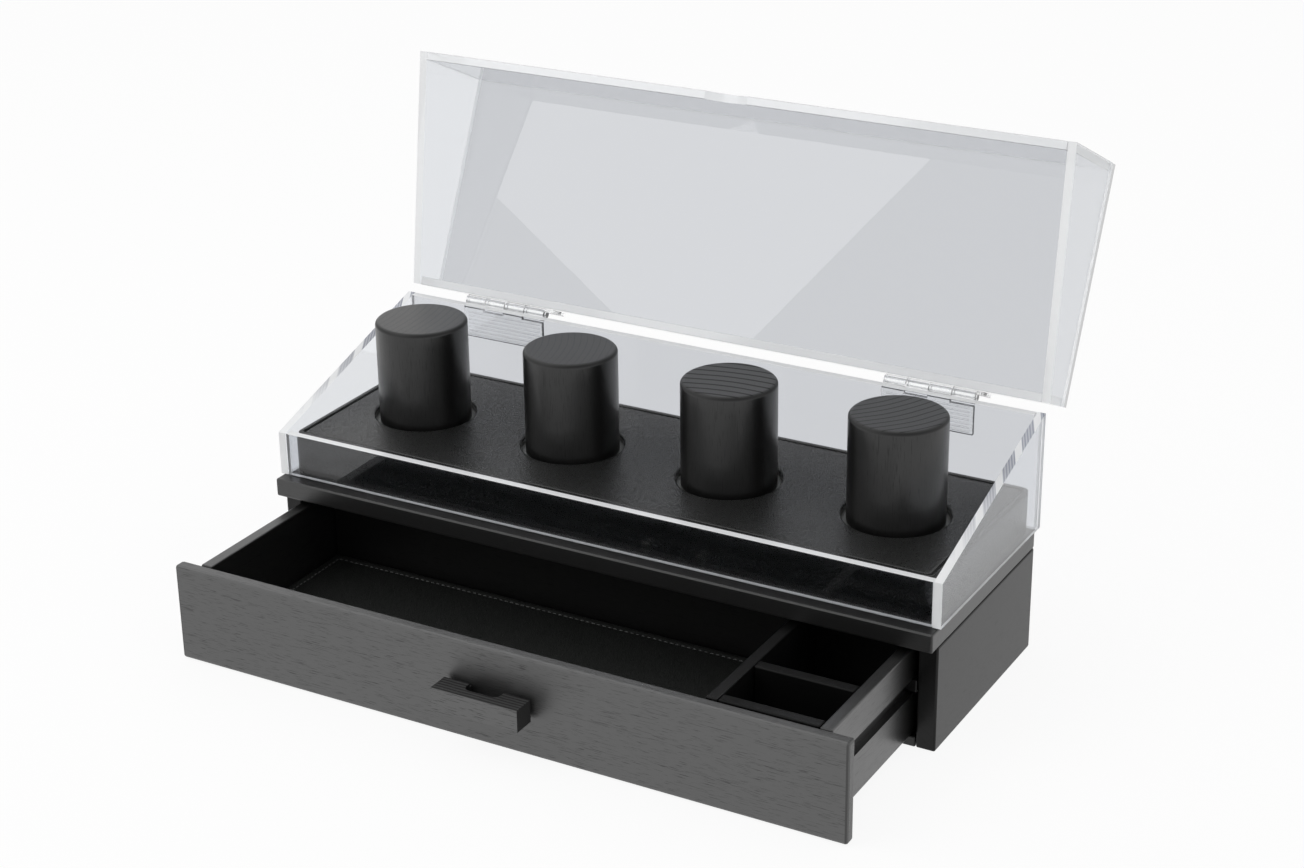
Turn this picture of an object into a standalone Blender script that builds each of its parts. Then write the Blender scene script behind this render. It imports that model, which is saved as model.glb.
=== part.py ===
"""Watch display stand, in metres, +Z up, front towards -Y.

A black-stained wooden carcass holds a drawer on two side runners. Its top board carries a leather-covered
deck with four lift-out posts. A clear acrylic case stands round the deck, and a clear lid is hinged to the
case's back wall. At rest the drawer is partly drawn and the lid is fully open.

The origin is the centre of the carcass's underside.
"""

import math

import bmesh
import bpy
from mathutils import Matrix, Vector

# Fits, small edges and fineness shared by many pieces
joint_gap = 0.0003
overrun = 0.002
weld_distance = 0.00001
front_edge = 0.0012
wood_edge = 0.0008
board_edge = 0.0006
sheet_edge = 0.0003
edge_segments = 2
corner_segments = 5
round_steps = 40
barrel_steps = 24
screw_steps = 16
arc_steps = 160
smooth_angle = math.radians(40)

# Carcass: two sides, bottom and back under a top board
carcass_width = 0.3434
carcass_depth = 0.1114
carcass_height = 0.0508
side_thickness = 0.009
bottom_thickness = 0.005
back_thickness = 0.006
back_corner_round = 0.0025
top_thickness = 0.009
top_overhang = 0.0069

# Runners on the carcass sides, which the drawer hangs on
runner_top_height = 0.0328
runner_height = 0.006
runner_side_clearance = 0.0005
runner_sole_clearance = 0.0014

# Drawer
drawer_opening = 0.0797
front_reveal = 0.0011
front_thickness = 0.006
front_floor_gap = 0.0008
drawer_head_gap = 0.0024
drawer_side_clearance = 0.0024
drawer_back_clearance = 0.0052
drawer_sole_gap = 0.0005
drawer_side_thickness = 0.0058
groove_depth_share = 0.58
drawer_bottom_rise = 0.0028
drawer_bottom_thickness = 0.0035

# Padded lining of the drawer
pad_thickness = 0.0038
pad_crown = 0.0004
pad_edge_inset = 0.0008
pad_stitch_inset = 0.004
pad_stitch_sink = 0.0002

# Organiser frame that makes two small compartments at the drawer's right end
organiser_thickness = 0.0055
organiser_front_gap = 0.0008
compartment_width = 0.0468
front_compartment_depth = 0.027

# Pull block on a smaller neck, with a finger notch behind its top, and its two screws
pull_width = 0.0438
pull_height = 0.0106
pull_depth = 0.0126
neck_depth = 0.0018
neck_inset = 0.0016
notch_width = 0.0175
notch_reach = 0.0055
notch_drop = 0.0072
notch_corner = 0.003
screw_spacing = 0.03
screw_radius = 0.0015
screw_length = 0.0125
screw_head_radius = 0.003
screw_head_height = 0.0018
screw_crown_shares = (0.5, 0.35)

# Clear case round the deck
case_side_overhang = 0.00115
case_front_inset = 0.0062
case_back_overhang = 0.0015
case_front_height = 0.0215
case_back_height = 0.0566
sheet_thickness = 0.004

# Leather-covered deck
deck_height = 0.0205
deck_side_clearance = 0.0024
deck_front_clearance = 0.0008
leather_thickness = 0.0011
leather_edge = 0.0009
socket_depth = 0.0035
socket_clearance = 0.0023

# Posts
post_count = 4
post_end_margin = 0.0405
post_diameter = 0.0447
post_length = 0.0515
post_rim_round = 0.0016
post_foot_round = 0.0006

# Lid
lid_open_angle = math.radians(115)
lid_back_height = 0.024
thumb_notch_width = 0.0225
thumb_notch_depth = 0.0022

# Clear plastic hinges between the back walls
hinge_end_margin = 0.0345
hinge_width = 0.046
knuckle_count = 4
knuckle_radius = 0.0029
knuckle_gap = 0.0004
leaf_reach = 0.0175
leaf_thickness = 0.002
pin_radius = 0.0011
pin_overhang = 0.0002

# Places that follow: carcass
carcass_front = -carcass_depth / 2
carcass_back = carcass_depth / 2
inner_half_width = carcass_width / 2 - side_thickness
carcass_inner_back = carcass_back - back_thickness
top_underside = carcass_height + joint_gap
top_surface = top_underside + top_thickness
top_front = carcass_front - top_overhang

# Places that follow: drawer, as it stands pushed in
front_back_face = carcass_front - joint_gap
front_face = front_back_face - front_thickness
front_half_width = carcass_width / 2 - front_reveal
drawer_top = carcass_height - drawer_head_gap
drawer_sole = bottom_thickness + drawer_sole_gap
drawer_half_width = inner_half_width - drawer_side_clearance
drawer_inner_half_width = drawer_half_width - drawer_side_thickness
box_front = carcass_front
box_back = carcass_inner_back - drawer_back_clearance
box_inner_back = box_back - drawer_side_thickness
groove_depth = drawer_side_thickness * groove_depth_share
groove_top = runner_top_height + joint_gap
groove_foot = runner_top_height - runner_height - runner_sole_clearance
bottom_low = drawer_sole + drawer_bottom_rise
bottom_high = bottom_low + drawer_bottom_thickness
lining_low = bottom_high + joint_gap
lining_half_width = drawer_inner_half_width - joint_gap
lining_back = box_inner_back - joint_gap

# Places that follow: organiser and pull
organiser_wall_right = lining_half_width - compartment_width
organiser_wall_left = organiser_wall_right - organiser_thickness
strip_front = box_front + organiser_front_gap
strip_back = strip_front + organiser_thickness
divider_front = strip_back + front_compartment_depth
divider_back = divider_front + organiser_thickness
pull_low = (front_floor_gap + drawer_top - pull_height) / 2
pull_high = pull_low + pull_height
pull_back = front_face - joint_gap
neck_front = pull_back - neck_depth
pull_front = pull_back - pull_depth
screw_height = pull_low + neck_inset + screw_radius + joint_gap

# Places that follow: case and deck
case_low = top_surface + joint_gap
case_half_width = carcass_width / 2 + case_side_overhang
case_inner_half_width = case_half_width - sheet_thickness
case_front = top_front + case_front_inset
case_back = carcass_back + case_back_overhang
case_inner_front = case_front + sheet_thickness
case_inner_back = case_back - sheet_thickness
case_front_top = case_low + case_front_height
case_back_top = case_low + case_back_height
deck_low = top_surface + joint_gap
deck_top = deck_low + deck_height
deck_half_width = case_inner_half_width - deck_side_clearance
deck_front = case_inner_front + deck_front_clearance
deck_back = case_inner_back - deck_front_clearance
deck_middle = (deck_front + deck_back) / 2
socket_radius = post_diameter / 2 + socket_clearance
socket_floor = deck_top - socket_depth
post_foot = socket_floor + joint_gap
post_pitch = 2 * (deck_half_width - post_end_margin) / (post_count - 1)

# Places that follow: hinges and lid
hinge_y = case_back + joint_gap + knuckle_radius
hinge_z = case_back_top + joint_gap / 2
hinge_centre = case_half_width - hinge_end_margin - hinge_width / 2
knuckle_pitch = hinge_width / knuckle_count

part_collection = "watch_display_stand"
cutter_collection = "cutters"


def clear_scene():
    for obj in list(bpy.data.objects):
        bpy.data.objects.remove(obj, do_unlink=True)
    for name in (part_collection, cutter_collection):
        made = bpy.data.collections.new(name)
        bpy.context.scene.collection.children.link(made)


def principled(name, colour, roughness, alpha):
    """A Principled material for one sub-part."""
    made = bpy.data.materials.new(name)
    made.use_nodes = True
    shader = made.node_tree.nodes["Principled BSDF"]
    shader.inputs["Base Color"].default_value = (*colour, 1.0)
    shader.inputs["Roughness"].default_value = roughness
    shader.inputs["Metallic"].default_value = 0.0
    shader.inputs["Alpha"].default_value = alpha
    made.diffuse_color = (*colour, alpha)
    return made


def black_wood(name):
    return principled(name + "_black_wood", (0.024, 0.024, 0.025), 0.5, 1.0)


def black_leather(name):
    return principled(name + "_black_leather", (0.014, 0.014, 0.014), 0.55, 1.0)


def board_core(name):
    return principled(name + "_fibreboard", (0.16, 0.11, 0.07), 0.8, 1.0)


def clear_acrylic(name):
    return principled(name + "_clear_acrylic", (0.9, 0.93, 0.95), 0.05, 0.3)


def clear_plastic(name):
    return principled(name + "_clear_plastic", (0.9, 0.92, 0.93), 0.15, 0.5)


def plated_steel(name):
    made = principled(name + "_plated_steel", (0.5, 0.5, 0.5), 0.35, 1.0)
    made.node_tree.nodes["Principled BSDF"].inputs["Metallic"].default_value = 1.0
    return made


def add_object(name, data, finish=None, parent=None):
    """Puts data in the scene: a part where it has a finish, and otherwise a cutter."""
    obj = bpy.data.objects.new(name, data)
    obj.parent = parent
    if finish:
        data.materials.append(finish(name))
        bpy.data.collections[part_collection].objects.link(obj)
    else:
        obj.hide_render = True
        obj.display_type = "WIRE"
        bpy.data.collections[cutter_collection].objects.link(obj)
    return obj


def joint_frame(name, location, turn_x=0.0):
    """An empty on a joint's axis: what moves with the joint is its child."""
    empty = bpy.data.objects.new(name, None)
    empty.location = location
    empty.rotation_euler = (turn_x, 0.0, 0.0)
    bpy.data.collections[part_collection].objects.link(empty)
    return empty


def bevel(obj, width, segments=edge_segments):
    modifier = obj.modifiers.new("edges", "BEVEL")
    modifier.width = width
    modifier.segments = segments
    modifier.limit_method = "ANGLE"


def round_back_corner(obj, sides):
    """Rounds the upright back edges on the given sides of a block, -1 for left and 1 for right."""
    weights = obj.data.attributes.new("bevel_weight_edge", "FLOAT", "EDGE")
    for edge, weight in zip(obj.data.edges, weights.data):
        ends = [obj.data.vertices[index].co for index in edge.vertices]
        at_back = all(end.y > 0.0 for end in ends)
        weight.value = float(at_back and any(all(end.x * side > 0.0 for end in ends) for side in sides))
    modifier = obj.modifiers.new("back_corner", "BEVEL")
    modifier.width = back_corner_round
    modifier.segments = corner_segments
    modifier.limit_method = "WEIGHT"


def boolean(obj, other, operation):
    modifier = obj.modifiers.new(operation.lower(), "BOOLEAN")
    modifier.operation = operation
    modifier.solver = "EXACT"
    modifier.object = other


def block(name, low, high, finish=None, parent=None):
    """A box from its low corner to its high corner, with its origin at its centre."""
    low = Vector(low)
    high = Vector(high)
    mesh = bpy.data.meshes.new(name)
    cube = bmesh.new()
    bmesh.ops.create_cube(cube, size=1.0, matrix=Matrix.Diagonal((*(high - low), 1.0)))
    cube.to_mesh(mesh)
    cube.free()
    obj = add_object(name, mesh, finish, parent)
    obj.location = (low + high) / 2
    return obj


def board(name, low, high, parent=None, edge=board_edge):
    """A wooden board with softened edges."""
    obj = block(name, low, high, black_wood, parent)
    bevel(obj, edge)
    return obj


def sheet(name, low, high, parent=None):
    """A clear sheet with square sides and eased edges."""
    obj = block(name, low, high, clear_acrylic, parent)
    bevel(obj, sheet_edge)
    return obj


def rod(name, centre, radius, length, axis, finish=None, parent=None, steps=round_steps):
    """A cylinder about its centre, along the X, Y or Z axis."""
    mesh = bpy.data.meshes.new(name)
    cylinder = bmesh.new()
    bmesh.ops.create_cone(
        cylinder, cap_ends=True, segments=steps, radius1=radius, radius2=radius, depth=length
    )
    cylinder.to_mesh(mesh)
    cylinder.free()
    mesh.shade_smooth()
    mesh.set_sharp_from_angle(angle=smooth_angle)
    obj = add_object(name, mesh, finish, parent)
    obj.location = centre
    turns = {"X": (0.0, math.pi / 2, 0.0), "Y": (math.pi / 2, 0.0, 0.0), "Z": (0.0, 0.0, 0.0)}
    obj.rotation_euler = turns[axis]
    return obj


def turned_piece(name, profile, finish, location, parent=None, steps=round_steps):
    """A turned shape from (radius, height) points that run down its outer side, top to bottom."""
    mesh = bpy.data.meshes.new(name)
    outline = bmesh.new()
    points = [outline.verts.new((radius, 0.0, height)) for radius, height in profile]
    for first, second in zip(points, points[1:]):
        outline.edges.new((first, second))
    outline.to_mesh(mesh)
    outline.free()
    obj = add_object(name, mesh, finish, parent)
    obj.location = location
    screw = obj.modifiers.new("turn", "SCREW")
    screw.steps = steps
    screw.render_steps = steps
    screw.use_merge_vertices = True
    screw.merge_threshold = weld_distance
    screw.use_smooth_shade = True
    return obj


def side_sheet(name, outline, x_low, parent=None):
    """A clear sheet standing across X, cut to an outline of (y, z) points."""
    curve = bpy.data.curves.new(name, "CURVE")
    curve.dimensions = "2D"
    curve.fill_mode = "BOTH"
    curve.extrude = sheet_thickness / 2
    spline = curve.splines.new("POLY")
    spline.points.add(len(outline) - 1)
    for point, (y, z) in zip(spline.points, outline):
        point.co = (y, z, 0.0, 1.0)
    spline.use_cyclic_u = True
    obj = add_object(name, curve, clear_acrylic, parent)
    obj.rotation_euler = (math.pi / 2, 0.0, math.pi / 2)
    obj.location = (x_low + sheet_thickness / 2, 0.0, 0.0)
    return obj


def arc(centre, radius, start, turn, steps):
    """Points of an arc about a centre, in degrees from start through turn."""
    angles = [math.radians(start + turn * step / steps) for step in range(steps + 1)]
    return [(centre[0] + radius * math.cos(a), centre[1] + radius * math.sin(a)) for a in angles]


def carcass():
    """Two sides with the bottom and the back between them, all flush with the sides' edges."""
    for name, side in (("carcass_side_left", -1), ("carcass_side_right", 1)):
        xs = sorted((side * carcass_width / 2, side * inner_half_width))
        low = (xs[0], carcass_front, 0.0)
        panel = block(name, low, (xs[1], carcass_back, carcass_height), black_wood)
        round_back_corner(panel, [side])
        bevel(panel, wood_edge)
    half = inner_half_width - joint_gap
    board("carcass_bottom", (-half, carcass_front, 0.0), (half, carcass_back, bottom_thickness))
    back_low = (-half, carcass_inner_back, bottom_thickness + joint_gap)
    board("carcass_back", back_low, (half, carcass_back, carcass_height))


def top_board():
    half = carcass_width / 2
    top = block("top_board", (-half, top_front, top_underside), (half, carcass_back, top_surface), black_wood)
    round_back_corner(top, [-1, 1])
    bevel(top, wood_edge)


def runners():
    """Strips on the carcass sides that stand in the drawer's grooves."""
    wall = inner_half_width - joint_gap
    tip = drawer_half_width - groove_depth + runner_side_clearance
    low_z = runner_top_height - runner_height
    for name, side in (("runner_left", -1), ("runner_right", 1)):
        xs = sorted((side * wall, side * tip))
        high = (xs[1], carcass_inner_back - joint_gap, runner_top_height)
        board(name, (xs[0], carcass_front, low_z), high)


def drawer_front(slide):
    """The front panel, with a hole for each of the pull's screws."""
    low = (-front_half_width, front_face, front_floor_gap)
    front = board("drawer_front", low, (front_half_width, front_back_face, drawer_top), slide, front_edge)
    for name, side in (("front_hole_left", -1), ("front_hole_right", 1)):
        centre = (side * screw_spacing / 2, (front_face + front_back_face) / 2, screw_height)
        length = front_thickness + 2 * overrun
        hole = rod(name, centre, screw_radius + joint_gap, length, "Y", parent=slide, steps=screw_steps)
        boolean(front, hole, "DIFFERENCE")


def drawer_box(slide):
    """Two grooved sides, the back and the bottom between them."""
    for name, side in (("drawer_side_left", -1), ("drawer_side_right", 1)):
        xs = sorted((side * drawer_half_width, side * drawer_inner_half_width))
        panel = board(name, (xs[0], box_front, drawer_sole), (xs[1], box_back, drawer_top), slide)
        cut_xs = sorted((side * (drawer_half_width - groove_depth), side * (drawer_half_width + overrun)))
        cut_low = (cut_xs[0], box_front - overrun, groove_foot)
        groove = block(name + "_groove", cut_low, (cut_xs[1], box_back + overrun, groove_top), parent=slide)
        boolean(panel, groove, "DIFFERENCE")
    half = lining_half_width
    board("drawer_back", (-half, box_inner_back, drawer_sole), (half, box_back, drawer_top), slide)
    block("drawer_bottom", (-half, box_front, bottom_low), (half, lining_back, bottom_high), black_wood, slide)


def padded(name, low, high, parent):
    """A stitched pad: crowned in the middle, drawn down along the stitching and in at its sides."""
    pad = block(name, low, high, black_leather, parent)
    half = (Vector(high) - Vector(low)) / 2
    mesh = bmesh.new()
    mesh.from_mesh(pad.data)
    for axis, reach in ((Vector((1.0, 0.0, 0.0)), half.x), (Vector((0.0, 1.0, 0.0)), half.y)):
        offsets = (0.0, reach - pad_stitch_inset, reach - pad_edge_inset)
        for offset in {side * offset for offset in offsets for side in (-1, 1)}:
            whole = mesh.verts[:] + mesh.edges[:] + mesh.faces[:]
            bmesh.ops.bisect_plane(mesh, geom=whole, plane_co=axis * offset, plane_no=axis)
    for vertex in mesh.verts:
        if vertex.co.z < 0.0:
            continue
        inset = min(half.x - abs(vertex.co.x), half.y - abs(vertex.co.y))
        if inset < pad_stitch_inset / 2:
            vertex.co.z -= pad_crown
        elif inset < 2 * pad_stitch_inset:
            vertex.co.z -= pad_crown + pad_stitch_sink
    mesh.to_mesh(pad.data)
    mesh.free()
    pad.data.shade_smooth()
    rounding = pad.modifiers.new("soft", "SUBSURF")
    rounding.levels = 1
    rounding.render_levels = 1


def drawer_lining(slide):
    """A pad in the long compartment and in each of the two small ones."""
    high_z = lining_low + pad_thickness
    small_left = organiser_wall_right + joint_gap
    spans = {
        "lining_long": (-lining_half_width, box_front, organiser_wall_left - joint_gap, lining_back),
        "lining_small_front": (small_left, strip_back + joint_gap, lining_half_width, divider_front - joint_gap),
        "lining_small_back": (small_left, divider_back + joint_gap, lining_half_width, lining_back),
    }
    for name, (left, front, right, back) in spans.items():
        padded(name, (left, front, lining_low), (right, back, high_z), slide)


def organiser(slide):
    """A wall down the drawer's depth, a front strip and one divider, standing on the drawer's bottom."""
    wall_low = (organiser_wall_left, strip_front, lining_low)
    board("organiser_wall", wall_low, (organiser_wall_right, lining_back, drawer_top), slide)
    left = organiser_wall_right + joint_gap
    for name, front in (("organiser_front", strip_front), ("organiser_divider", divider_front)):
        high = (lining_half_width, front + organiser_thickness, drawer_top)
        board(name, (left, front, lining_low), high, slide)


def drawer_pull(slide):
    """A block on a neck that is smaller all round, with a round-cornered notch for a fingertip."""
    half = pull_width / 2
    pull = block("drawer_pull", (-half, pull_front, pull_low), (half, neck_front, pull_high), black_wood, slide)
    neck_low = (-half + neck_inset, neck_front - overrun, pull_low + neck_inset)
    neck_high = (half - neck_inset, pull_back, pull_high - neck_inset)
    boolean(pull, block("pull_neck", neck_low, neck_high, parent=slide), "UNION")
    past = notch_corner + overrun
    notch_low = (-notch_width / 2, neck_front - notch_reach, pull_high - notch_drop)
    notch = block("pull_notch", notch_low, (notch_width / 2, pull_back + past, pull_high + past), parent=slide)
    bevel(notch, notch_corner, corner_segments)
    boolean(pull, notch, "DIFFERENCE")
    reach = screw_length - front_thickness + joint_gap
    for name, side in (("pull_hole_left", -1), ("pull_hole_right", 1)):
        centre = (side * screw_spacing / 2, pull_back + (overrun - reach) / 2, screw_height)
        length = reach + overrun
        hole = rod(name, centre, screw_radius + joint_gap, length, "Y", parent=slide, steps=screw_steps)
        boolean(pull, hole, "DIFFERENCE")


def pull_screws(slide):
    """Domed screws, driven from inside the drawer through its front into the pull."""
    crown_share, shoulder_share = screw_crown_shares
    profile = [
        (0.0, screw_head_height),
        (screw_head_radius * crown_share, screw_head_height),
        (screw_head_radius, screw_head_height * shoulder_share),
        (screw_head_radius, 0.0),
        (screw_radius, 0.0),
        (screw_radius, screw_radius - screw_length),
        (0.0, -screw_length),
    ]
    for name, side in (("pull_screw_left", -1), ("pull_screw_right", 1)):
        place = (side * screw_spacing / 2, front_back_face + joint_gap, screw_height)
        screw = turned_piece(name, profile, plated_steel, place, slide, screw_steps)
        screw.rotation_euler = (-math.pi / 2, 0.0, 0.0)


def case_walls():
    """The front and back walls stand between two side walls whose tops slope down to the front."""
    half = case_inner_half_width - joint_gap
    sheet("case_front_wall", (-half, case_front, case_low), (half, case_inner_front, case_front_top))
    sheet("case_back_wall", (-half, case_inner_back, case_low), (half, case_back, case_back_top))
    outline = [
        (case_front, case_low),
        (case_back, case_low),
        (case_back, case_back_top),
        (case_front, case_front_top),
    ]
    side_sheet("case_side_left", outline, -case_half_width)
    side_sheet("case_side_right", outline, case_inner_half_width)


def post_x(index):
    return (index - (post_count - 1) / 2) * post_pitch


def cut_sockets(obj, floor, tag):
    """Cuts a round hole for each post, from above the deck down to a floor height."""
    height = deck_top + overrun - floor
    for index in range(post_count):
        centre = (post_x(index), deck_middle, floor + height / 2)
        boolean(obj, rod(f"{tag}_socket_{index + 1}", centre, socket_radius, height, "Z"), "DIFFERENCE")


def deck():
    """A core with a blind socket for each post, in a leather cover with a hole over each socket."""
    inset = Vector((leather_thickness, leather_thickness, 0.0))
    low = Vector((-deck_half_width, deck_front, deck_low))
    high = Vector((deck_half_width, deck_back, deck_top))
    cover = block("deck_cover", low, high, black_leather)
    bevel(cover, leather_edge)
    hollow_low = low + inset - Vector((0.0, 0.0, overrun))
    hollow_high = high - inset - Vector((0.0, 0.0, leather_thickness))
    boolean(cover, block("cover_hollow", hollow_low, hollow_high), "DIFFERENCE")
    cut_sockets(cover, hollow_high.z - overrun, "cover")
    gap = Vector((joint_gap, joint_gap, 0.0))
    core_high = hollow_high - gap - Vector((0.0, 0.0, joint_gap))
    core = block("deck_core", low + inset + gap, core_high, board_core)
    cut_sockets(core, socket_floor, "core")


def posts():
    """Turned posts standing loose in their sockets, each with its origin on its own axis at its foot."""
    radius = post_diameter / 2
    rim_centre = (radius - post_rim_round, post_length - post_rim_round)
    foot_centre = (radius - post_foot_round, post_foot_round)
    rim = arc(rim_centre, post_rim_round, 90, -90, corner_segments)
    foot = arc(foot_centre, post_foot_round, 0, -90, edge_segments)
    profile = [(0.0, post_length), *rim, *foot, (0.0, 0.0)]
    for index in range(post_count):
        turned_piece(f"post_{index + 1}", profile, black_wood, (post_x(index), deck_middle, post_foot))


def lid(axis):
    """The lid's five sheets, placed about the hinge axis as they stand when it is closed."""
    front = case_front - hinge_y
    back = case_back - hinge_y
    low_back = joint_gap / 2
    low_front = case_front_top - case_back_top + joint_gap / 2
    top = low_back + lid_back_height
    under = top - sheet_thickness
    wall_top = under - joint_gap
    half = case_inner_half_width - joint_gap
    sheet("lid_top", (-case_half_width, front, under), (case_half_width, back, top), axis)
    sheet("lid_back_wall", (-half, back - sheet_thickness, low_back), (half, back, wall_top), axis)
    front_high = (half, front + sheet_thickness, wall_top)
    front_wall = sheet("lid_front_wall", (-half, front, low_front), front_high, axis)
    boolean(front_wall, thumb_notch(axis, front + sheet_thickness / 2, low_front), "DIFFERENCE")
    outline = [(front, low_front), (back, low_back), (back, wall_top), (front, wall_top)]
    side_sheet("lid_side_left", outline, -case_half_width, axis)
    side_sheet("lid_side_right", outline, case_inner_half_width, axis)


def thumb_notch(axis, middle, edge_height):
    """A disc that takes a shallow arc out of the front wall's lower edge."""
    half = thumb_notch_width / 2
    radius = (half**2 + thumb_notch_depth**2) / (2 * thumb_notch_depth)
    centre = (0.0, middle, edge_height + thumb_notch_depth - radius)
    return rod("thumb_notch", centre, radius, sheet_thickness + 2 * overrun, "Y", parent=axis, steps=arc_steps)


def hinge_leaf(name, x_left, line, up, knuckles, axis=None):
    """A leaf against its wall, with every second knuckle on the pin line; up is 1 above it, -1 below."""
    near = knuckle_radius + knuckle_gap
    zs = sorted((up * near, up * leaf_reach))
    low = line + Vector((x_left, -knuckle_radius, zs[0]))
    high = line + Vector((x_left + hinge_width, leaf_thickness - knuckle_radius, zs[1]))
    leaf = block(name, low, high, clear_plastic, axis)
    neck_zs = sorted((0.0, up * (near + leaf_thickness / 2)))
    for index in knuckles:
        left = x_left + index * knuckle_pitch + knuckle_gap / 2
        right = left + knuckle_pitch - knuckle_gap
        tag = f"{name}_{index + 1}"
        middle = line + Vector(((left + right) / 2, 0.0, 0.0))
        barrel = rod(tag + "_barrel", middle, knuckle_radius, right - left, "X", parent=axis, steps=barrel_steps)
        boolean(leaf, barrel, "UNION")
        neck_low = line + Vector((left, -knuckle_radius, neck_zs[0]))
        neck_high = line + Vector((right, leaf_thickness - knuckle_radius, neck_zs[1]))
        boolean(leaf, block(tag + "_neck", neck_low, neck_high, parent=axis), "UNION")
    bore_middle = line + Vector((x_left + hinge_width / 2, 0.0, 0.0))
    bore_length = hinge_width + 2 * overrun
    bore_radius = pin_radius + joint_gap
    bore = rod(name + "_bore", bore_middle, bore_radius, bore_length, "X", parent=axis, steps=barrel_steps)
    boolean(leaf, bore, "DIFFERENCE")


def hinges(axis):
    """Two hinges: a leaf on the case, a leaf on the lid and a pin through their knuckles."""
    pin_line = Vector((0.0, hinge_y, hinge_z))
    length = hinge_width + 2 * pin_overhang
    for tag, centre in (("left", -hinge_centre), ("right", hinge_centre)):
        x_left = centre - hinge_width / 2
        hinge_leaf(f"hinge_{tag}_case_leaf", x_left, pin_line, -1, range(0, knuckle_count, 2))
        hinge_leaf(f"hinge_{tag}_lid_leaf", x_left, Vector(), 1, range(1, knuckle_count, 2), axis)
        place = pin_line + Vector((centre, 0.0, 0.0))
        rod(f"hinge_{tag}_pin", place, pin_radius, length, "X", clear_plastic, steps=barrel_steps)


def build():
    clear_scene()
    carcass()
    top_board()
    runners()
    slide = joint_frame("drawer_slide", (0.0, -drawer_opening, 0.0))
    drawer_front(slide)
    drawer_box(slide)
    drawer_lining(slide)
    organiser(slide)
    drawer_pull(slide)
    pull_screws(slide)
    deck()
    posts()
    case_walls()
    lid_axis = joint_frame("lid_axis", (0.0, hinge_y, hinge_z), -lid_open_angle)
    lid(lid_axis)
    hinges(lid_axis)


build()
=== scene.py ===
# %% [markdown]
# # A display stand with four posts, a drawer and a clear lid
#
# A black-stained wooden carcass holds a drawer. A leather-covered deck with four lift-out posts stands on
# it, inside a clear acrylic case with a hinged lid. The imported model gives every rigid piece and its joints.
# This file dresses it: finishes for wood, leather, acrylic and moulded plastic, and the sewn and moulded
# detail that is too soft or too fine for plain solids.

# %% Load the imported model
import math

import bmesh
import bpy
import numpy as np
from mathutils import Matrix, Vector


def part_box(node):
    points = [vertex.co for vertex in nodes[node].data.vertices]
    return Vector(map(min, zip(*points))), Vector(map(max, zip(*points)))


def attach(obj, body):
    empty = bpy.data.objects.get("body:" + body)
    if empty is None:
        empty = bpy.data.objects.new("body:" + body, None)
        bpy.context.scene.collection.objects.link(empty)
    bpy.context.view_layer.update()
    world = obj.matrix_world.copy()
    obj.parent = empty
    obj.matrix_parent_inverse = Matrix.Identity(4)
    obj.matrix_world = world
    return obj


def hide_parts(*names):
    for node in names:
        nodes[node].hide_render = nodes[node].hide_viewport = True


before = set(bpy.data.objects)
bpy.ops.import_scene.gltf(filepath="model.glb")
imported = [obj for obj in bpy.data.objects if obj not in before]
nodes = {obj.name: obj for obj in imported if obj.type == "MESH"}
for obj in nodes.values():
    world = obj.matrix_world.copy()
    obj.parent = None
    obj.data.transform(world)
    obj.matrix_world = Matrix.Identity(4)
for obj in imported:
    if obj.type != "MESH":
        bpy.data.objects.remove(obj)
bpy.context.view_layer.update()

# %% [markdown]
# ## Camera and surroundings
#
# The stand is seen from the front right and from above, on a white table in a white tent. The camera's place
# and turns are given, as found from the stand's own corners. A perspective camera with a longish lens is used,
# because the far end of the deck looks only a little smaller than the near end.

# %% Units and colours
MM = 0.001


def colour(hex_code):
    """Linear RGBA of an sRGB hex colour: each channel goes through the sRGB curve."""
    channels = [int(hex_code[i : i + 2], 16) / 255 for i in (1, 3, 5)]
    linear = [c / 12.92 if c <= 0.04045 else ((c + 0.055) / 1.055) ** 2.4 for c in channels]
    return (*linear, 1.0)


print("white is", colour("#ffffff")[:3], "and mid grey is", round(colour("#808080")[0], 3))

# %% Camera
# The turns are in degrees: to the left of +Y, downwards, and the roll. The lens and the sensor are in mm.
CAMERA_PLACE = Vector((534.0, -935.9, 560.1)) * MM
YAW, PITCH, ROLL = (math.radians(a) for a in (29.63, 23.39, -0.76))
LENS = 69.58
SENSOR_WIDTH = 36.0

ahead = Vector((-math.sin(YAW) * math.cos(PITCH), math.cos(YAW) * math.cos(PITCH), -math.sin(PITCH)))
level = Vector((math.cos(YAW), math.sin(YAW), 0.0))
upright = level.cross(ahead)
across = level * math.cos(ROLL) + upright * math.sin(ROLL)
upward = upright * math.cos(ROLL) - level * math.sin(ROLL)
camera = bpy.data.objects.new("camera", bpy.data.cameras.new("camera"))
camera.data.sensor_width = SENSOR_WIDTH
camera.data.lens = LENS
turned = Matrix((across, upward, -ahead)).transposed()
camera.matrix_world = Matrix.Translation(CAMERA_PLACE) @ turned.to_4x4()
bpy.context.scene.collection.objects.link(camera)
bpy.context.scene.camera = camera
bpy.context.scene.view_settings.view_transform = "Standard"
print("camera looks along", [round(v, 3) for v in ahead])


# %% [markdown]
# ## How materials are written
#
# Every finish here is a small graph of nodes that reads Object coordinates, so a pattern stays on its
# piece when the lid or the drawer moves. One helper adds a node, sets what is given as a value and links
# what is given as a socket.

# %% One helper for nodes
def add(tree, kind, inputs=None, **settings):
    """Adds a node. inputs maps an input's name or number to a socket to link, or to a plain value."""
    made = tree.nodes.new("ShaderNode" + kind)
    for name, value in settings.items():
        setattr(made, name, value)
    for key, value in (inputs or {}).items():
        if isinstance(value, bpy.types.NodeSocket):
            tree.links.new(value, made.inputs[key])
        else:
            made.inputs[key].default_value = value
    return made


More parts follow.
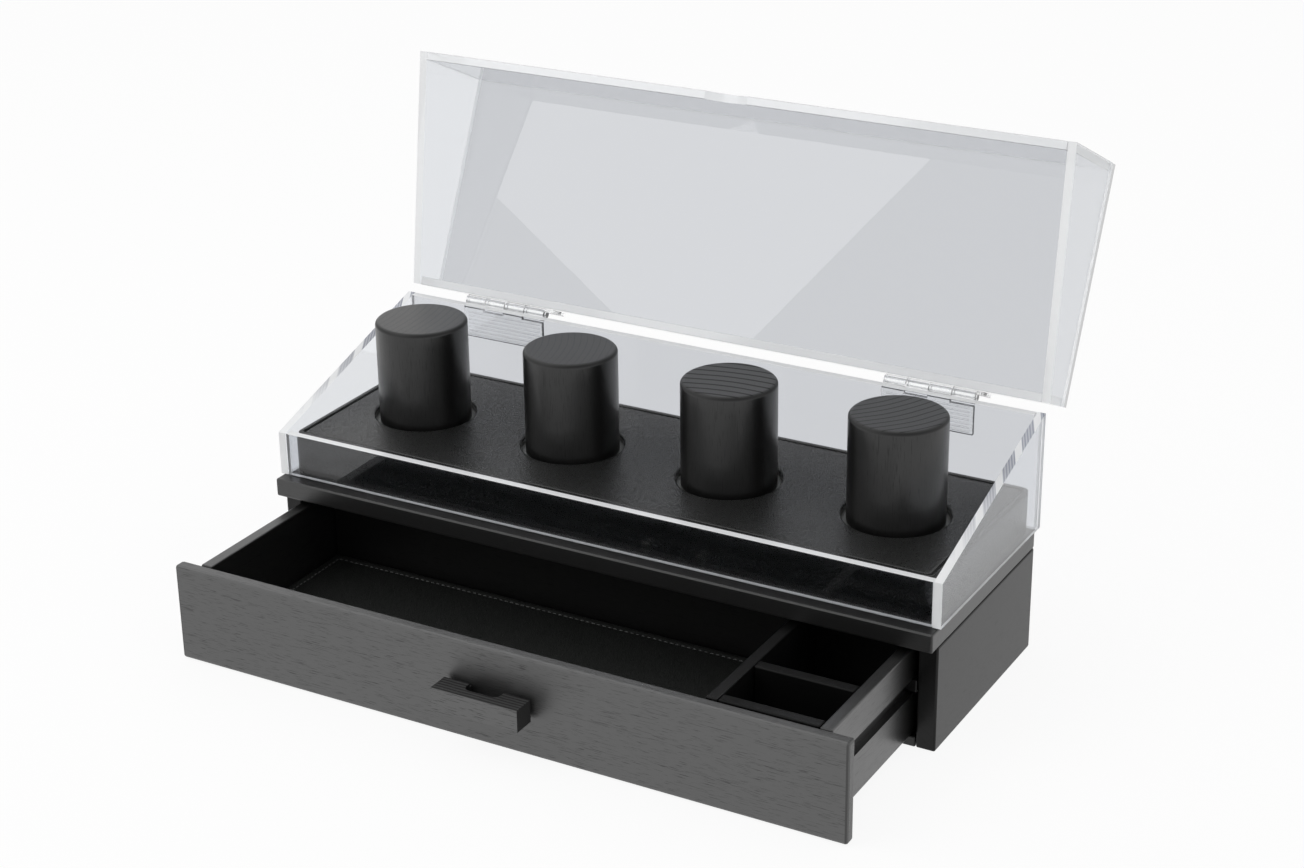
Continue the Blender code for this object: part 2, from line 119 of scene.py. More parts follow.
def new_finish(name):
    """An empty material and its node tree."""
    material = bpy.data.materials.new(name)
    material.use_nodes = True
    material.node_tree.nodes.clear()
    return material, material.node_tree


def wave_scale(pitch):
    """The scale at which a wave texture's bands lie a pitch apart: at 1 they lie pi / 10 metres apart."""
    return math.pi / 10 / pitch


def blend_colours(tree, share, first, second):
    """The colour socket of first where share is 0 and second where it is 1."""
    made = add(tree, "Mix", data_type="RGBA")
    for number, value in ((0, share), (6, first), (7, second)):
        if isinstance(value, bpy.types.NodeSocket):
            tree.links.new(value, made.inputs[number])
        else:
            made.inputs[number].default_value = value
    return made.outputs[2]


# %% [markdown]
# ## Floor, backdrop and light
#
# The real stand was photographed in a white tent: a white table, a white background and two broad soft
# lamps. The floor and the world are white to the eye, and in whatever shines or is clear. The floor mixes
# that white with a plain pale surface, so the stand keeps its shadow.

# %% Floor
FLOOR_SIZE = 8.0
FLOOR_WHITENESS = 0.9
MATT_WHITE = "#fcfcfc"
WHITE = "#ffffff"


def seen_directly(tree):
    """1 for rays from the camera and for those that gloss or clear walls send on, 0 for the rest."""
    path = add(tree, "LightPath").outputs
    either = add(tree, "Math", {0: path["Is Camera Ray"], 1: path["Is Glossy Ray"]}, operation="MAXIMUM")
    both = add(tree, "Math", {0: either.outputs[0], 1: path["Is Transmission Ray"]}, operation="MAXIMUM")
    return both.outputs[0]


# Matt melamine: it looks evenly white, and still keeps the stand's soft shadow.
white_table, tree = new_finish("white_table")
matt = add(tree, "BsdfDiffuse", {"Color": colour(MATT_WHITE)})
shining = add(tree, "Emission", {"Color": colour(WHITE), "Strength": 1.0})
whiteness = add(tree, "Math", {0: seen_directly(tree), 1: FLOOR_WHITENESS}, operation="MULTIPLY")
mixed = add(tree, "MixShader", {0: whiteness.outputs[0], 1: matt.outputs[0], 2: shining.outputs[0]})
add(tree, "OutputMaterial", {"Surface": mixed.outputs[0]})

half = FLOOR_SIZE / 2
floor_corners = [(-half, -half, 0), (half, -half, 0), (half, half, 0), (-half, half, 0)]
floor_mesh = bpy.data.meshes.new("floor")
floor_mesh.from_pydata(floor_corners, [], [(0, 1, 2, 3)])
floor = bpy.data.objects.new("floor", floor_mesh)
floor.data.materials.append(white_table)
bpy.context.scene.collection.objects.link(floor)
print("floor", FLOOR_SIZE, "m square, whiteness", FLOOR_WHITENESS)

# %% White surroundings
SURROUND_LIGHT = 0.7

world = bpy.data.worlds.new("white_tent")
bpy.context.scene.world = world
world.use_nodes = True
tree = world.node_tree
tree.nodes.clear()
lighting = add(tree, "Background", {"Color": colour(WHITE), "Strength": SURROUND_LIGHT})
background = add(tree, "Background", {"Color": colour(WHITE), "Strength": 1.0})
mixed = add(tree, "MixShader", {0: seen_directly(tree), 1: lighting.outputs[0], 2: background.outputs[0]})
add(tree, "OutputWorld", {"Surface": mixed.outputs[0]})
print("world light", SURROUND_LIGHT)


# %% Soft lamps
# The left one is a square softbox that stands on a corner: its lower corner shows, very faintly, in the lid.
# For each lamp, in metres: its place, the way it faces, the way one of its edges runs, its size, and then
# how bright it is beside white.
LAMPS = {
    "lamp_left": ((-0.705, -0.629, 1.168), (0.474, 0.768, -0.432), (0.509, 0.162, 0.845), 1.0, 1.8),
    "lamp_right": ((1.35, 0.15, 0.9), (-1.35, -0.15, -0.8), (0.0, 1.0, 0.0), 0.9, 0.4),
}


def soft_lamp(name, place, facing, side, size, brightness):
    """A square lamp that faces a way and has an edge along side. Its brightness is white's at 1.

    It isn't seen through clear walls: there it would be a hard white patch, where the real one is a veil.
    """
    lamp = bpy.data.objects.new(name, bpy.data.lights.new(name, "AREA"))
    lamp.data.shape = "SQUARE"
    lamp.data.size = size
    lamp.data.energy = brightness * math.pi * size**2
    backward = -Vector(facing).normalized()
    first = Vector(side) - Vector(side).dot(backward) * backward
    first.normalize()
    turned = Matrix((first, backward.cross(first), backward)).transposed()
    lamp.matrix_world = Matrix.Translation(place) @ turned.to_4x4()
    lamp.visible_transmission = False
    bpy.context.scene.collection.objects.link(lamp)


for name, (place, facing, side, size, brightness) in LAMPS.items():
    soft_lamp(name, place, facing, side, size, brightness)
    print(name, "at", place, "size", size, "brightness", brightness)

# %% [markdown]
# ## Black-stained ash
#
# The boards, the pull and the turned posts are ash with open pores: a black stain and a thin satin lacquer.
# The lacquer gives soft reflections, and the pores show as fine dark dashes along the grain. A picture of
# wood could be wrapped round each board, but a solid pattern is truer: rings round a pith, and pores drawn
# out along the grain, cut by the faces as a saw cuts a log. So the posts' tops show rings and the boards'
# faces show dashes, from one recipe. The pores keep the real width of ash's, a quarter of a millimetre.
# Where a surface turns from a long side toward end grain, as on a sanded shoulder, it is made darker: painted
# shade.

# %% Ash recipe
RING_PITCH = 4 * MM
RING_BEND = 2.2
RING_BEND_SCALE = 0.35
LATE_WOOD_FADE = 0.17
PORE_WIDTH = 0.26 * MM
PORE_LENGTH = 7 * MM
PORE_LEVEL = 0.585
PORE_LEVEL_IN_RING = 0.54
PORE_FADE = 0.09
PORE_DULLING = 0.24
PORE_DEPTH = 0.07 * MM
FIBRE_SHARE = 0.12
STAIN_CLOUD = 45 * MM
DARK_STAIN = "#0a0a0a"
LIGHT_STAIN = "#131313"
# The pores' colour and dulled shine, also used for the painted shade on slants between a long side and end
# grain.
PORE_STAIN_AND_PAINTED_SHADE = "#030303"
PORE_SHINE_AND_PAINTED_SHADE = "#a0a0a0"
LACQUER_IOR = 1.66
GRAIN_WAY = {"X": (1, 0, 0), "Y": (0, 1, 0), "Z": (0, 0, 1)}
TURN_TO_GRAIN = {"X": (0, 0, 0), "Y": (0, 0, math.pi / 2), "Z": (0, -math.pi / 2, 0)}
# Cosines between a surface's normal and the grain, from 0 on a long side to 1 on end grain.
SLANT_FROM, SLANT_FULL = 0.12, 0.5
RINGS_FROM, RINGS_FULL = 0.5, 0.9
END_FROM, END_FULL = 0.75, 0.99
# How far slants are darkened: painted shade on shoulders and bevels, and on end grain as far as end_share lets
# it.
SHOULDER_SHADE_AND_END_DARKENING = 0.8


def stained_ash(
    name,
    grain,
    pith,
    ring_pitch=RING_PITCH,
    ring_share=0.12,
    lustre=0.42,
    polish=0.3,
    openness=0.45,
    ior=LACQUER_IOR,
    end_share=0.0,
    long_share=0.0,
    late_wood=0.8,
):
    """Ash with its grain along an axis, and its rings round a line through the point pith.

    Rings: a saw-tooth of the distance from the pith line, bent a little by noise, and dark where it is over
    late_wood. They show by ring_share on end grain and by long_share on long sides. Pores: noise stretched
    along the grain, kept where it is high, and more of it near each ring. Slants: painted shade between a long
    side and end grain, which keeps end_share of that darkening. All three darken, dull and sink. The lacquer's
    shine grows with lustre and ior, and its roughness is polish.
    """
    material, tree = new_finish(name)
    place = add(tree, "TexCoord").outputs["Object"]
    log = add(
        tree,
        "Mapping",
        {"Vector": place, "Location": pith, "Rotation": TURN_TO_GRAIN[grain]},
        vector_type="TEXTURE",
    ).outputs[0]
    wave = add(
        tree,
        "TexWave",
        {
            "Vector": log,
            "Scale": wave_scale(ring_pitch),
            "Distortion": RING_BEND,
            "Detail": 2.0,
            "Detail Scale": RING_BEND_SCALE,
        },
        wave_type="RINGS",
        rings_direction="X",
        wave_profile="SAW",
    )
    ring = add(
        tree,
        "MapRange",
        {0: wave.outputs["Fac"], 1: late_wood, 2: late_wood + LATE_WOOD_FADE},
        interpolation_type="SMOOTHSTEP",
    )
    drawn_out = add(
        tree, "Mapping", {"Vector": log, "Scale": (1 / PORE_LENGTH, 1 / PORE_WIDTH, 1 / PORE_WIDTH)}
    )
    fibres = add(tree, "TexNoise", {"Vector": drawn_out.outputs[0], "Scale": 1.0, "Detail": 2.0})
    threshold = add(tree, "MapRange", {0: ring.outputs[0], 3: PORE_LEVEL, 4: PORE_LEVEL_IN_RING})
    above = add(tree, "Math", {0: fibres.outputs[0], 1: threshold.outputs[0]}, operation="SUBTRACT")
    pore = add(
        tree,
        "MapRange",
        {0: above.outputs[0], 1: 0.0, 2: PORE_FADE, 4: openness},
        interpolation_type="SMOOTHSTEP",
    )
    spot = add(tree, "TexCoord").outputs["Normal"]
    along = add(tree, "VectorMath", {0: spot, 1: GRAIN_WAY[grain]}, operation="DOT_PRODUCT").outputs["Value"]
    end_grain = add(tree, "Math", {0: along}, operation="ABSOLUTE").outputs[0]
    showing = add(
        tree, "MapRange", {0: end_grain, 1: RINGS_FROM, 2: RINGS_FULL, 3: long_share, 4: ring_share}
    )
    faint_ring = add(tree, "Math", {0: ring.outputs[0], 1: showing.outputs[0]}, operation="MULTIPLY")
    # Slants between a long side and end grain get painted shade; end grain keeps end_share of it.
    slant = add(tree, "MapRange", {0: end_grain, 1: SLANT_FROM, 2: SLANT_FULL, 4: SHOULDER_SHADE_AND_END_DARKENING})
    level = add(tree, "MapRange", {0: end_grain, 1: END_FULL, 2: END_FROM, 3: end_share})
    shoulder = add(tree, "Math", {0: slant.outputs[0], 1: level.outputs[0]}, operation="MULTIPLY")
    cut_open = add(tree, "Math", {0: pore.outputs[0], 1: faint_ring.outputs[0]}, operation="MAXIMUM")
    marks = add(tree, "Math", {0: cut_open.outputs[0], 1: shoulder.outputs[0]}, operation="MAXIMUM")
    grain_and_painted_shade = marks.outputs[0]
    cloud = add(tree, "TexNoise", {"Vector": log, "Scale": 1 / STAIN_CLOUD, "Detail": 3.0})
    lighter = blend_colours(tree, cloud.outputs[0], colour(DARK_STAIN), colour(LIGHT_STAIN))
    stain = blend_colours(tree, grain_and_painted_shade, lighter, colour(PORE_STAIN_AND_PAINTED_SHADE))
    roughness = add(tree, "MapRange", {0: grain_and_painted_shade, 3: polish, 4: polish + PORE_DULLING})
    hollow = blend_colours(tree, grain_and_painted_shade, colour(WHITE), colour(PORE_SHINE_AND_PAINTED_SHADE))
    fine = add(tree, "Math", {0: fibres.outputs[0], 1: FIBRE_SHARE}, operation="MULTIPLY")
    height = add(tree, "Math", {0: fine.outputs[0], 1: grain_and_painted_shade}, operation="SUBTRACT")
    relief = add(tree, "Bump", {"Strength": 0.4, "Distance": PORE_DEPTH, "Height": height.outputs[0]})
    lacquer = add(
        tree,
        "BsdfPrincipled",
        {
            "Base Color": stain,
            "Roughness": roughness.outputs[0],
            "IOR": ior,
            "Specular IOR Level": lustre,
            "Specular Tint": hollow,
            "Normal": relief.outputs[0],
        },
    )
    add(tree, "OutputMaterial", {"Surface": lacquer.outputs[0]})
    return material


# %% Ash on the boards
def dress(material, *names):
    """Puts a finish into every slot of the CAD nodes named."""
    for name in names:
        for held in nodes[name].material_slots:
            held.material = material


# For each finish: its boards, the axis of its grain, a point of the pith in mm, and what differs from the
# plain recipe.
BOARD_FINISHES = {
    # The drawer's front is satin with open pores. It catches the white table's light and reads dark grey.
    "satin_black_ash_front": (
        ["drawer_front"],
        "X",
        (0, 70, -45),
        {"lustre": 1.0, "openness": 0.6, "polish": 0.42},
    ),
    # The drawer's pull is cut from strongly marked wood: fine streaks along it, and darker ends.
    "satin_black_ash_pull": (
        ["drawer_pull"],
        "X",
        (0, -215.8, 25),
        {
            "ring_pitch": 1.9 * MM,
            "ring_share": 0.5,
            "lustre": 1.0,
            "openness": 1.0,
            "end_share": 1.0,
            "long_share": 1.0,
            "late_wood": 0.5,
        },
    ),
    # The top board is smoother, with its pores nearly filled, so it mirrors the case and the light a little.
    "black_stained_ash_top": (
        ["top_board"],
        "X",
        (0, 90, -25),
        {"lustre": 0.9, "openness": 0.3, "ior": 1.5, "polish": 0.34},
    ),
    # The drawer's sides are lacquered to slide well, and read a little lighter than the carcass.
    "satin_black_ash_slide": (
        ["drawer_side_left", "drawer_side_right"],
        "Y",
        (90, 0, -70),
        {"lustre": 0.8, "openness": 0.4},
    ),
    # Boards that hardly show have stain and one thin coat: black, with a low shine.
    "black_stained_ash_along": (
        ["carcass_bottom", "carcass_back", "drawer_back", "drawer_bottom"],
        "X",
        (0, 70, -45),
        {"lustre": 0.3},
    ),
    # The thin strips of the organiser are stained only: black, with almost no shine.
    "black_ash_strip": (
        ["organiser_front", "organiser_divider"],
        "X",
        (0, 50, -35),
        {"lustre": 0.1},
    ),
    # The boards that run from front to back have the same thin coat, over a closer grain.
    "black_stained_ash_deep": (
        ["carcass_side_left", "carcass_side_right", "runner_left", "runner_right", "organiser_wall"],
        "Y",
        (120, 0, -60),
        {"lustre": 0.35, "openness": 0.3, "ior": 1.42},
    ),
}
for name, (boards, grain, pith, differences) in BOARD_FINISHES.items():
    dress(stained_ash(name, grain, tuple(v * MM for v in pith), **differences), *boards)
    print(name, "on", boards)

# %% Ash on the turned posts
# Turned and sanded before the stain: rings on the top, fine pores down the side, and a shoulder made darker
# by painted shade. Each post is cut from another part of the log, so its rings come from another side. For
# each post: the way to the pith in degrees and its distance, the rings' pitch, how strongly they show, and
# where in a ring the dark late wood starts.
POST_RINGS = {
    "post_1": (187, 120 * MM, 3.4 * MM, 0.3, 0.8),
    "post_2": (200, 80 * MM, 3.0 * MM, 0.3, 0.8),
    "post_3": (-81, 110 * MM, 5.4 * MM, 1.0, 0.68),
    "post_4": (146, 90 * MM, 4.2 * MM, 0.8, 0.74),
}
POST_OPENNESS = 0.4

post_ash = {}
for name, (direction, distance, pitch, share, late) in POST_RINGS.items():
    low, high = (Vector(corner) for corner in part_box(name))
    middle = (low + high) / 2
    turn = math.radians(direction)
    pith = middle + Vector((math.cos(turn), math.sin(turn), 0.0)) * distance
    post_ash[name] = stained_ash(
        "turned_black_ash_" + name[-1], "Z", pith, pitch, share, openness=POST_OPENNESS, late_wood=late
    )
    print(name, "pith at", [round(v * 1000) for v in pith])

# %% [markdown]
# ## Clear acrylic
#
# The case and the lid are 4 mm cast acrylic sheet, glued at the corners. It is clear, and a grey tint is
# painted into it: painted shade that stands in for the dimmer surroundings seen through it. Its sawn and
# polished edges gather light and look white. Real thickness makes this work: the sheets are solids, so light
# bends on the way in and out. The edges are told from the faces by the direction in which a surface points.
# An edge that is glued to a face has no air behind it and doesn't shine. On the case's sloping edges the
# polish broke up, and bright and dull shards follow each other.
# Lamps would cast dark shadows through a bending surface, so for their rays it is plain see-through.

# %% Acrylic recipe
ACRYLIC_IOR = 1.49
# The faces' grey tint is painted shade: it dims what is seen through the sheet, for dim surroundings.
FACE_SHADE_TINT = "#d6d8dc"
EDGE_TINT = "#fdfeff"
EDGE_GLOW = 0.85
EDGE_HAZE = 0.12
# A surface is a face down to the first of these cosines with the face's direction, an edge past the second.
FACE_COSINE, EDGE_COSINE = 0.75, 0.35
FACET_TINT = "#b6bac9"
FACET_GLOW = 0.5
FACET_RUN = Vector((0.91, 0.395, 0.122))
FACET_PITCH = 9.42 * MM
FACETS_FROM, FACETS_FULL = 86 * MM, 106 * MM
SHARD_FROM, SHARD_FULL = 0.35, 0.38
STREAK_PITCH = 1.3 * MM
STREAK_LOW = 0.55
SWELL_SIZE = 40 * MM
CLEAR_RELIEF = 0.1 * MM
WINDOW_TINT = "#f2f3f4"


def end_clear_finish(tree, clear):
    """The output of a clear finish: lamps' rays pass straight through it, all the others bend."""
    window = add(tree, "BsdfTransparent", {"Color": colour(WINDOW_TINT)})
    lamp_ray = add(tree, "LightPath").outputs["Is Shadow Ray"]
    mixed = add(tree, "MixShader", {0: lamp_ray, 1: clear.outputs[0], 2: window.outputs[0]})
    add(tree, "OutputMaterial", {"Surface": mixed.outputs[0]})


def clear_acrylic(
    name,
    face_normal,
    face_shade_tint=FACE_SHADE_TINT,
    facets=0.0,
    glow=EDGE_GLOW,
    haziness=EDGE_HAZE,
    glued_way=(0.0, 0.0, 0.0),
):
    """Clear sheet whose broad faces point along face_normal. A surface across that is a cut edge.

    An edge passes less light, by glow, and scatters it more, by haziness, unless it faces the glued way.
    Facets: a saw-tooth along FACET_RUN, cut to shards and finely streaked, that comes in with height.
    """
    material, tree = new_finish(name)
    spot = add(tree, "TexCoord").outputs
    facing = add(tree, "VectorMath", {0: spot["Normal"], 1: face_normal}, operation="DOT_PRODUCT")
    size = add(tree, "Math", {0: facing.outputs["Value"]}, operation="ABSOLUTE")
    across = add(
        tree,
        "MapRange",
        {0: size.outputs[0], 1: FACE_COSINE, 2: EDGE_COSINE},
        interpolation_type="SMOOTHSTEP",
    )
    toward = add(tree, "VectorMath", {0: spot["Normal"], 1: glued_way}, operation="DOT_PRODUCT")
    free = add(tree, "MapRange", {0: toward.outputs["Value"], 1: FACE_COSINE, 2: EDGE_COSINE})
    edge = add(tree, "Math", {0: across.outputs[0], 1: free.outputs[0]}, operation="MULTIPLY").outputs[0]
    run = add(tree, "VectorMath", {0: spot["Object"], 1: FACET_RUN}, operation="DOT_PRODUCT").outputs["Value"]
    slanted = add(tree, "CombineXYZ", {0: run})
    bands = add(
        tree,
        "TexWave",
        {"Vector": slanted.outputs[0], "Scale": wave_scale(FACET_PITCH)},
        wave_profile="SAW",
    )
    streaks = add(tree, "TexWave", {"Vector": slanted.outputs[0], "Scale": wave_scale(STREAK_PITCH)})
    height = add(tree, "SeparateXYZ", {0: spot["Object"]}).outputs[2]
    upper = add(tree, "MapRange", {0: height, 1: FACETS_FROM, 2: FACETS_FULL, 4: facets})
    shard = add(tree, "MapRange", {0: bands.outputs["Fac"], 1: SHARD_FROM, 2: SHARD_FULL})
    streaked = add(tree, "MapRange", {0: streaks.outputs["Fac"], 3: STREAK_LOW, 4: 1.0})
    broken = add(tree, "Math", {0: shard.outputs[0], 1: streaked.outputs[0]}, operation="MULTIPLY")
    facet = add(tree, "Math", {0: upper.outputs[0], 1: broken.outputs[0]}, operation="MULTIPLY").outputs[0]
    cut = blend_colours(tree, facet, colour(EDGE_TINT), colour(FACET_TINT))
    # The faces take the grey tint: painted shade for the dim surroundings seen through the sheet.
    tint = blend_colours(tree, edge, colour(face_shade_tint), cut)
    haze = add(tree, "MapRange", {0: edge, 3: 0.0, 4: haziness})
    lit = add(tree, "MapRange", {0: facet, 3: glow, 4: FACET_GLOW})
    held = add(tree, "Math", {0: edge, 1: lit.outputs[0]}, operation="MULTIPLY")
    passed = add(tree, "Math", {0: 1.0, 1: held.outputs[0]}, operation="SUBTRACT")
    swell = add(tree, "TexNoise", {"Vector": spot["Object"], "Scale": 1 / SWELL_SIZE, "Detail": 1.0})
    relief = add(tree, "Bump", {"Strength": 0.1, "Distance": CLEAR_RELIEF, "Height": swell.outputs[0]})
    sheet = add(
        tree,
        "BsdfPrincipled",
        {
            "Base Color": tint,
            "Roughness": haze.outputs[0],
            "IOR": ACRYLIC_IOR,
            "Transmission Weight": passed.outputs[0],
            "Normal": relief.outputs[0],
        },
    )
    end_clear_finish(tree, sheet)
    return material


# %% Acrylic on the case
# The front and back walls carry a grey tint, painted shade for the dim surroundings seen through them, and
# read as glass. The sides carry a lighter painted tint, as they take more light from above, and have the
# broken polish on their sloping edges.
ACROSS_X = (1.0, 0.0, 0.0)
ACROSS_Y = (0.0, 1.0, 0.0)
# The sides' lighter tint is painted shade too, lighter as they take more light from above.
SIDE_SHADE_TINT = "#f0f2f5"

case_walls = clear_acrylic("clear_acrylic_walls", ACROSS_Y)
dress(case_walls, "case_front_wall", "case_back_wall")
case_sides = clear_acrylic("clear_acrylic_sides", ACROSS_X, face_shade_tint=SIDE_SHADE_TINT, facets=1.0)
dress(case_sides, "case_side_left", "case_side_right")
print("case walls and sides:", case_walls.name, case_sides.name)

# %% Acrylic on the lid
# The lid is a box of its own, open by LID_ANGLE, so its faces point other ways than the case's. Its top and
# walls carry a greyer painted tint, painted shade for the dim surroundings seen through them. Its left side
# stands before a greyer part of the tent than its right side does, so each has its own painted tint. Its
# edges are polished clearer than the case's, with less haze.
LID_ANGLE = math.radians(115)
# The lid's tints are painted shade for the dim surroundings seen through it.
LID_SHADE_TINT = "#cbcdd1"
LID_SIDE_SHADE_TINTS = {"left": "#e9ebee", "right": "#fbfcfd"}
LID_SIDE_GLOW = 0.85
LID_WALL_GLOW = 0.55
LID_TOP_GLOW = 0.65
LID_HAZE = 0.06

lid_top_normal = (0.0, -math.sin(LID_ANGLE), -math.cos(LID_ANGLE))
lid_wall_normal = (0.0, math.cos(LID_ANGLE), -math.sin(LID_ANGLE))
to_lid_top = tuple(-v for v in lid_top_normal)
for side, tint in LID_SIDE_SHADE_TINTS.items():
    lid_side = clear_acrylic(
        "clear_acrylic_lid_" + side,
        ACROSS_X,
        face_shade_tint=tint,
        glow=LID_SIDE_GLOW,
        haziness=LID_HAZE,
        glued_way=to_lid_top,
    )
    dress(lid_side, "lid_side_" + side)
lid_walls = clear_acrylic(
    "clear_acrylic_lid_walls",
    lid_wall_normal,
    face_shade_tint=LID_SHADE_TINT,
    glow=LID_WALL_GLOW,
    haziness=LID_HAZE,
    glued_way=to_lid_top,
)
dress(lid_walls, "lid_front_wall", "lid_back_wall")
lid_top = clear_acrylic(
    "clear_acrylic_lid_top", lid_top_normal, face_shade_tint=LID_SHADE_TINT, glow=LID_TOP_GLOW, haziness=LID_HAZE
)
dress(lid_top, "lid_top")
print("lid top faces", [round(v, 3) for v in lid_top_normal])

# %% [markdown]
# ## Leather, thread and the deck's core
#
# The deck and the drawer's pads are covered in black calf leather with a fine pressed grain. Its pebbles
# are about 0.9 mm across. Cells with sunken borders give that grain in gloss and relief, and in colour as
# painted shade: darker in the sunken borders. The deck is sewn with black waxed thread, which hardly shows
# in its groove. The pads are sewn with grey-black polyester, lighter than the leather, so that their
# stitches read as a dashed line.

# %% Leather recipe
PEBBLE = 0.9 * MM
CREASE = 0.28
CREASE_DEPTH = 0.07 * MM
CREASE_DULLING = 0.3
STIR_SIZE = 2.4 * MM
STIR_REACH = 0.7 * MM
HIDE_CLOUD = 30 * MM


def pressed_leather(name, dark, light, crest_gloss, ior):
    """Black leather: cells about a pebble wide, dull in the creases and darkened there by painted shade, over
    slow clouds of tone.

    Cells: the distance to the nearest border between cells, whose places noise stirs by up to STIR_REACH.
    """
    material, tree = new_finish(name)
    place = add(tree, "TexCoord").outputs["Object"]
    stir = add(tree, "TexNoise", {"Vector": place, "Scale": 1 / STIR_SIZE, "Detail": 1.0})
    moved = add(tree, "VectorMath", {0: stir.outputs["Color"], 3: STIR_REACH}, operation="SCALE")
    bent = add(tree, "VectorMath", {0: place, 1: moved.outputs[0]}, operation="ADD")
    cells = add(
        tree, "TexVoronoi", {"Vector": bent.outputs[0], "Scale": 1 / PEBBLE}, feature="DISTANCE_TO_EDGE"
    )
    crest = add(
        tree,
        "MapRange",
        {0: cells.outputs["Distance"], 1: 0.0, 2: CREASE},
        interpolation_type="SMOOTHSTEP",
    )
    cloud = add(tree, "TexNoise", {"Vector": place, "Scale": 1 / HIDE_CLOUD, "Detail": 3.0})
    # The creases' darker colour is painted shade; the slow clouds are the hide's own tone.
    tone = add(tree, "Math", {0: crest.outputs[0], 1: cloud.outputs[0]}, operation="MULTIPLY")
    shade = blend_colours(tree, tone.outputs[0], colour(dark), colour(light))
    gloss = add(tree, "MapRange", {0: crest.outputs[0], 3: crest_gloss + CREASE_DULLING, 4: crest_gloss})
    relief = add(tree, "Bump", {"Strength": 0.6, "Distance": CREASE_DEPTH, "Height": crest.outputs[0]})
    skin = add(
        tree,
        "BsdfPrincipled",
        {
            "Base Color": shade,
            "Roughness": gloss.outputs[0],
            "IOR": ior,
            "Normal": relief.outputs[0],
        },
    )
    add(tree, "OutputMaterial", {"Surface": skin.outputs[0]})
    return material


# The deck's leather is pressed hard and waxed: its crests shine, so it mirrors the posts and the tent
# faintly. The pads' leather is soft and unwaxed: duller and blacker.
deck_leather = pressed_leather("pressed_black_leather", "#0b0c0b", "#131413", 0.2, 1.6)
pad_leather = pressed_leather("soft_black_leather", "#060806", "#0d0f0d", 0.42, 1.4)
print("leathers:", deck_leather.name, pad_leather.name)

# %% Thread
# Real strands lie about 0.3 mm apart. They are drawn as coarse as they need to show.
STRAND_PITCH = 0.5 * MM
STRAND_DEPTH = 0.08 * MM


def twisted_thread(name, dark, light):
    """Sewing thread: slanted strands, with a painted highlight on their backs and painted shade in between."""
    material, tree = new_finish(name)
    place = add(tree, "TexCoord").outputs["Object"]
    twist = add(
        tree,
        "TexWave",
        {"Vector": place, "Scale": wave_scale(STRAND_PITCH)},
        bands_direction="DIAGONAL",
    )
    # The colour follows the strands' relief: painted highlight on the backs, painted shade in between.
    strands = blend_colours(tree, twist.outputs["Fac"], colour(dark), colour(light))
    relief = add(tree, "Bump", {"Strength": 0.5, "Distance": STRAND_DEPTH, "Height": twist.outputs["Fac"]})
    yarn = add(
        tree,
        "BsdfPrincipled",
        {"Base Color": strands, "Roughness": 0.55, "Sheen Weight": 0.3, "Normal": relief.outputs[0]},
    )
    add(tree, "OutputMaterial", {"Surface": yarn.outputs[0]})
    return material


# Wax lays the fibres flat and keeps the deck's thread as black as its leather. Polyester is dry and greyer.
deck_thread = twisted_thread("black_waxed_thread", "#070707", "#141414")
pad_thread = twisted_thread("grey_black_polyester_thread", "#2c2d2c", "#6c6d6c")
print("threads:", deck_thread.name, pad_thread.name)

# %% Core of the deck
# Fibreboard sealed with lacquer, given a mid-grey colour: painted sheen that stands in for the light the
# socket's floor reflects. It shows only as a narrow ring round each post, where the floor of the socket
# reads as a pale crescent. Its fibres give it a faint mottle.
FLUFF = 0.8 * MM
FLUFF_DEPTH = 0.08 * MM
# Mid-grey colours: painted sheen for the light the socket's floor reflects, mottled by the fibres.
CORE_PAINTED_SHEEN_DARK = "#5c5d5c"
CORE_PAINTED_SHEEN_LIGHT = "#7c7d7b"

sealed_board, tree = new_finish("fibreboard_painted_sheen")
place = add(tree, "TexCoord").outputs["Object"]
fluff = add(tree, "TexNoise", {"Vector": place, "Scale": 1 / FLUFF, "Detail": 3.0})
sealed = blend_colours(tree, fluff.outputs[0], colour(CORE_PAINTED_SHEEN_DARK), colour(CORE_PAINTED_SHEEN_LIGHT))
relief = add(tree, "Bump", {"Strength": 0.4, "Distance": FLUFF_DEPTH, "Height": fluff.outputs[0]})
board = add(
    tree, "BsdfPrincipled", {"Base Color": sealed, "Roughness": 0.32, "IOR": 1.5, "Normal": relief.outputs[0]}
)
add(tree, "OutputMaterial", {"Surface": board.outputs[0]})
dress(sealed_board, "deck_core")
print(sealed_board.name, "fibres", round(FLUFF * 1000, 2), "mm")

# %% Screws
# Nickel-plated steel, tumbled bright: pale warm metal, whose fine specks blur the reflections a little. The
# specks are drawn as coarse as they need to show.
SPECK = 0.7 * MM
PLATE_DARK = "#a9a8a4"
PLATE_LIGHT = "#c4c2bd"
PLATE_SMOOTH, PLATE_DULL = 0.24, 0.38

nickel_steel, tree = new_finish("nickel_plated_steel")
place = add(tree, "TexCoord").outputs["Object"]
speck = add(tree, "TexNoise", {"Vector": place, "Scale": 1 / SPECK, "Detail": 2.0})
plate = blend_colours(tree, speck.outputs[0], colour(PLATE_DARK), colour(PLATE_LIGHT))
dullness = add(tree, "MapRange", {0: speck.outputs[0], 3: PLATE_SMOOTH, 4: PLATE_DULL})
metal = add(
    tree, "BsdfPrincipled", {"Base Color": plate, "Metallic": 1.0, "Roughness": dullness.outputs[0]}
)
add(tree, "OutputMaterial", {"Surface": metal.outputs[0]})
dress(nickel_steel, "pull_screw_left", "pull_screw_right")
print(nickel_steel.name, "specks", round(SPECK * 1000, 2), "mm")

# %% [markdown]
# ## Surfaces from grids
#
# A new piece is worked out as arrays: one row of points for each step in one direction, one column for
# each step in the other. Two helpers turn such grids into a mesh.

